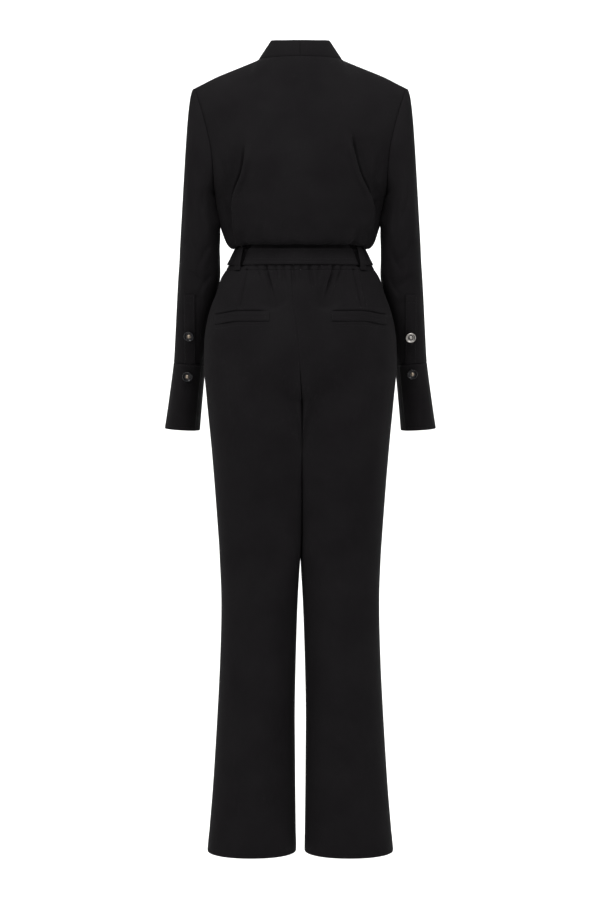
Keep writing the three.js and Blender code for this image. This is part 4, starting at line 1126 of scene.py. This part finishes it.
def makeLeg(side, word, face, part, levels):
    across, height = np.meshgrid(shares(trousers[part + "Columns"], edgeShares), levels)
    points = trouserPoint(side, face, across, height)
    if face > 0:
        points = pushOut(points, smooth(-480, -460, height) * waistRelief(points[..., 0], height))
        folds = creases(points[..., 0], points[..., 2], backLegFolds[word])
        folds = folds + weltRelief(side * points[..., 0], points[..., 2])
    else:
        shift = 0 if side > 0 else trousers["frontShift"]
        folds = creases(side * points[..., 0], points[..., 2] + shift, frontLegFolds)
    folds = folds * smooth(0, 0.05, across) * (1 - smooth(0.9, 1, across))
    hemTop = hemZ + trousers["hemRoom"]
    hem = 0.25 * smooth(hemTop + 2, hemTop - 1, height) - 0.35 * hill(height - hemTop, 1.6)
    _, outer, normals = clothPiece(part + "_leg_" + word, points, -side * face, folds + hem,
                                   ("left", "right", "start", "end"), keep=keepLeg(side, height),
                                   middle=(slice(None), -1), cut=trousers[part + "Cut"])
    if face > 0:
        sewPiece("pocket_stitching_" + word, [pocketLine(side, outer, normals, levels)])


def makeWelt(side, word):
    across, down = np.meshgrid(shares(60, (0.006, 0.015)), shares(14, (0.03, 0.07)))
    x = mix(welt["inner"], welt["outer"], across)
    z = mix(welt["top"], welt["foot"], down) - weltDip(x)
    angle = side * np.arcsin((x / hipRing["side"](z)) ** (1 / squareness))
    points = waistPoint(angle, z, 0)
    points[..., 1] += halfGap
    points[..., 0] += side * halfGap
    points = pushOut(points, welt["rise"])
    middle = -0.5 * hill(down - 0.52, 0.045) * smooth(0.05, 0.07, across)
    tack = -0.35 * hill(x - welt["inner"] - 5.5, 0.7)
    _, outer, normals = clothPiece("pocket_welt_" + word, points, side, middle + tack,
                                   ("left", "right", "start", "end"), rests=["back_leg_" + word],
                                   **welt["cloth"])
    columns = [nearest(across[0], share) for share in (0.02, 0.085, 0.985)]
    low, high = nearest(down[:, 0], 0.07), nearest(down[:, 0], 0.93)
    rows = [stitchRow(outer[low:high + 1, k], normals[low:high + 1, k], 0.3) for k in columns]
    rows.append(stitchRow(outer[high, columns[1]:columns[2]], normals[high, columns[1]:columns[2]]))
    sewPiece("welt_stitching_" + word, rows)


bothSides = ((1, "left"), (-1, "right"))
levels = bodiceLevels()
makeBackBodice(levels)
makeFrontBodice(levels)
for side, word in bothSides:
    makeArmholeAllowance(side, word)
    makeNeckAllowance(side, word)
print("bodice made")
makeNeckband()
print("neckband made")
for side, word in bothSides:
    makeSleeve(side, word)
    makeCuff(side, word)
    makePlacket(side, word)
print("sleeves, cuffs and plackets made")
makeWaistband()
makeBelt()
makeLoops()
print("waistband, belt and loops made")
levels = trouserLevels()
for side, word in bothSides:
    makeLeg(side, word, 1, "back", levels)
    makeLeg(side, word, -1, "front", levels)
for side, word in bothSides:
    makeWelt(side, word)
print("trousers and welts made")


# Buttons

button = {
    "scale": 0.96, "around": 56, "out": 2.4, "lift": 1.9,
    "places": (
        # name, side, turn round the cuff, height
        ("placket_button_left", 1, 84, -510.5), ("placket_button_right", -1, 87, -512.5),
        ("cuff_button_left", 1, 90.5, -585.6), ("cuff_button_right", -1, 92, -581),
    ),
    "rows": (
        # radius, height, part: 0 body, 1 rim, 2 dome
        (0, -1.6, 0), (2.4, -1.6, 0), (2.4, 0.0, 0), (7.6, 0.0, 0), (9.2, 0.35, 0), (9.85, 1.0, 0),
        (10.0, 1.7, 0), (9.9, 2.5, 0), (9.5, 3.2, 1), (9.1, 3.55, 1), (8.6, 3.6, 1), (8.0, 3.35, 1),
        (7.4, 2.75, 1), (6.9, 2.4, 1), (6.2, 2.0, 1), (5.6, 1.9, 1), (5.0, 2.0, 0), (4.4, 2.1, 0),
        (3.7, 2.1, 0), (3.4, 2.1, 2), (3.2, 2.6, 2), (2.7, 3.2, 2), (2.0, 3.65, 2), (1.1, 3.9, 2),
        (0, 3.95, 2),
    ),
}


def buttonPlace(side, turn, z):
    turns = np.array([[turn, turn + 1, turn]], float)
    heights = np.array([[z, z, z + 1]], float)
    at, across, up = cuffPoint(side, turns, heights, button["out"])[0]
    normal = np.cross(across - at, up - at) * side
    normal /= np.linalg.norm(normal)
    turned = Vector((0, 0, 1)).rotation_difference(Vector(normal)).to_matrix()
    return at + normal * button["lift"], turned


def buttonRings(base, turned):          # the turned profile, as points and where each ring starts
    vertices, rings = [], []
    for radius, height, _ in button["rows"]:
        count = 1 if radius == 0 else button["around"]
        rings.append((len(vertices), count))
        for k in range(count):
            angle = 2 * pi * k / button["around"]
            wide = radius * button["scale"]
            point = turned @ Vector((wide * cos(angle), wide * sin(angle), height))
            vertices.append([(base[i] + point[i]) * mm for i in range(3)])
    return vertices, rings


def buttonMesh(name, base, turned):
    vertices, rings = buttonRings(base, turned)
    faces, slots = [], []
    for i, ((a, countA), (b, countB)) in enumerate(zip(rings, rings[1:])):
        for k in range(button["around"]):
            n = (k + 1) % button["around"]
            if countA == 1:
                faces.append((a, b + n, b + k))
            elif countB == 1:
                faces.append((a + k, a + n, b))
            else:
                faces.append((a + k, a + n, b + n, b + k))
            slots.append(button["rows"][i + 1][2])
    mesh = bpy.data.meshes.new(name)
    mesh.from_pydata(vertices, [], faces)
    mesh.polygons.foreach_set("material_index", slots)
    return mesh


def makeButtons():
    for name, side, turn, z in button["places"]:
        mesh = buttonMesh(name, *buttonPlace(side, turn, z))
        paintedHighlight = name == "placket_button_right"         # painted highlight: this button gets pale nickel on its rim and dome for the light it caught, while the others, which are alike, keep dark resin and brass
        parts = [resin, paintedHighlightNickel, paintedHighlightNickel] if paintedHighlight else [resin, resin, brass]
        addPiece(name + "_turned", mesh, parts, nodes=[name])


makeButtons()
print("buttons made")


# Studio

studio = {
    "floor": -1.72, "size": 14.0, "bendStart": -3.0, "bend": 1.5, "wallHeight": 6.5, "worldStrength": 1.0,
    "lights": [
        # place, aim, width, height, power
        ((2.4, 2.9, 1.7), (0, 0, -0.3), 1.2, 1.4, 150),
        ((-2.4, 2.8, 1.4), (0, 0, -0.3), 1.2, 1.4, 85),
        ((0.0, 1.6, 2.4), (0, 0, -0.3), 1.6, 0.9, 135),
    ],
}
camera = {
    "x": 0.0006, "distance": 4.5, "height": -0.444, "pitch": 3.522,
    "focal": 2437.0, "frameHeight": 900,        # in pixels of a 600 x 900 picture
}


def makeFloor():                # flat, then curved up into a wall in front of the garment
    half, floor, start, bend = studio["size"] / 2, studio["floor"], studio["bendStart"], studio["bend"]
    steps = [(half, floor), (start, floor)]
    for k in range(1, 13):
        angle = k / 12 * quarter
        steps.append((start - bend * sin(angle), floor + bend * (1 - cos(angle))))
    steps.append((start - bend, floor + studio["wallHeight"]))
    vertices = [(x, y, z) for y, z in steps for x in (-half, half)]
    faces = [(2 * i, 2 * i + 1, 2 * i + 3, 2 * i + 2) for i in range(len(steps) - 1)]
    mesh = bpy.data.meshes.new("studioFloor")
    mesh.from_pydata(vertices, [], faces)
    mesh.materials.append(plaster)
    mesh.polygons.foreach_set("use_smooth", np.ones(len(faces), bool))
    floorPiece = bpy.data.objects.new("studioFloor", mesh)
    bpy.context.scene.collection.objects.link(floorPiece)


def makeLights():
    for place, aim, width, height, power in studio["lights"]:
        data = bpy.data.lights.new("softbox", "AREA")
        data.shape, data.size, data.size_y, data.energy = "RECTANGLE", width, height, power
        light = bpy.data.objects.new("softbox", data)
        light.location = place
        light.rotation_euler = (Vector(aim) - Vector(place)).to_track_quat("-Z", "Y").to_euler()
        bpy.context.scene.collection.objects.link(light)
    world = bpy.data.worlds.new("studioAir")
    world.use_nodes = True
    air = world.node_tree.nodes["Background"]
    air.inputs["Color"].default_value = linear("#ffffff")
    air.inputs["Strength"].default_value = studio["worldStrength"]
    bpy.context.scene.world = world
    bpy.context.scene.view_settings.view_transform = "Standard"


def makeCamera():
    data = bpy.data.cameras.new("camera")
    data.sensor_fit = "VERTICAL"
    data.sensor_height = 36
    data.lens = camera["focal"] / camera["frameHeight"] * 36
    data.clip_end = 60
    eye = bpy.data.objects.new("camera", data)
    eye.location = (camera["x"], camera["distance"], camera["height"])
    eye.rotation_euler = (radians(90 - camera["pitch"]), 0, pi)
    bpy.context.scene.collection.objects.link(eye)
    bpy.context.scene.camera = eye


makeFloor()
makeLights()
makeCamera()
print("studio and camera set")
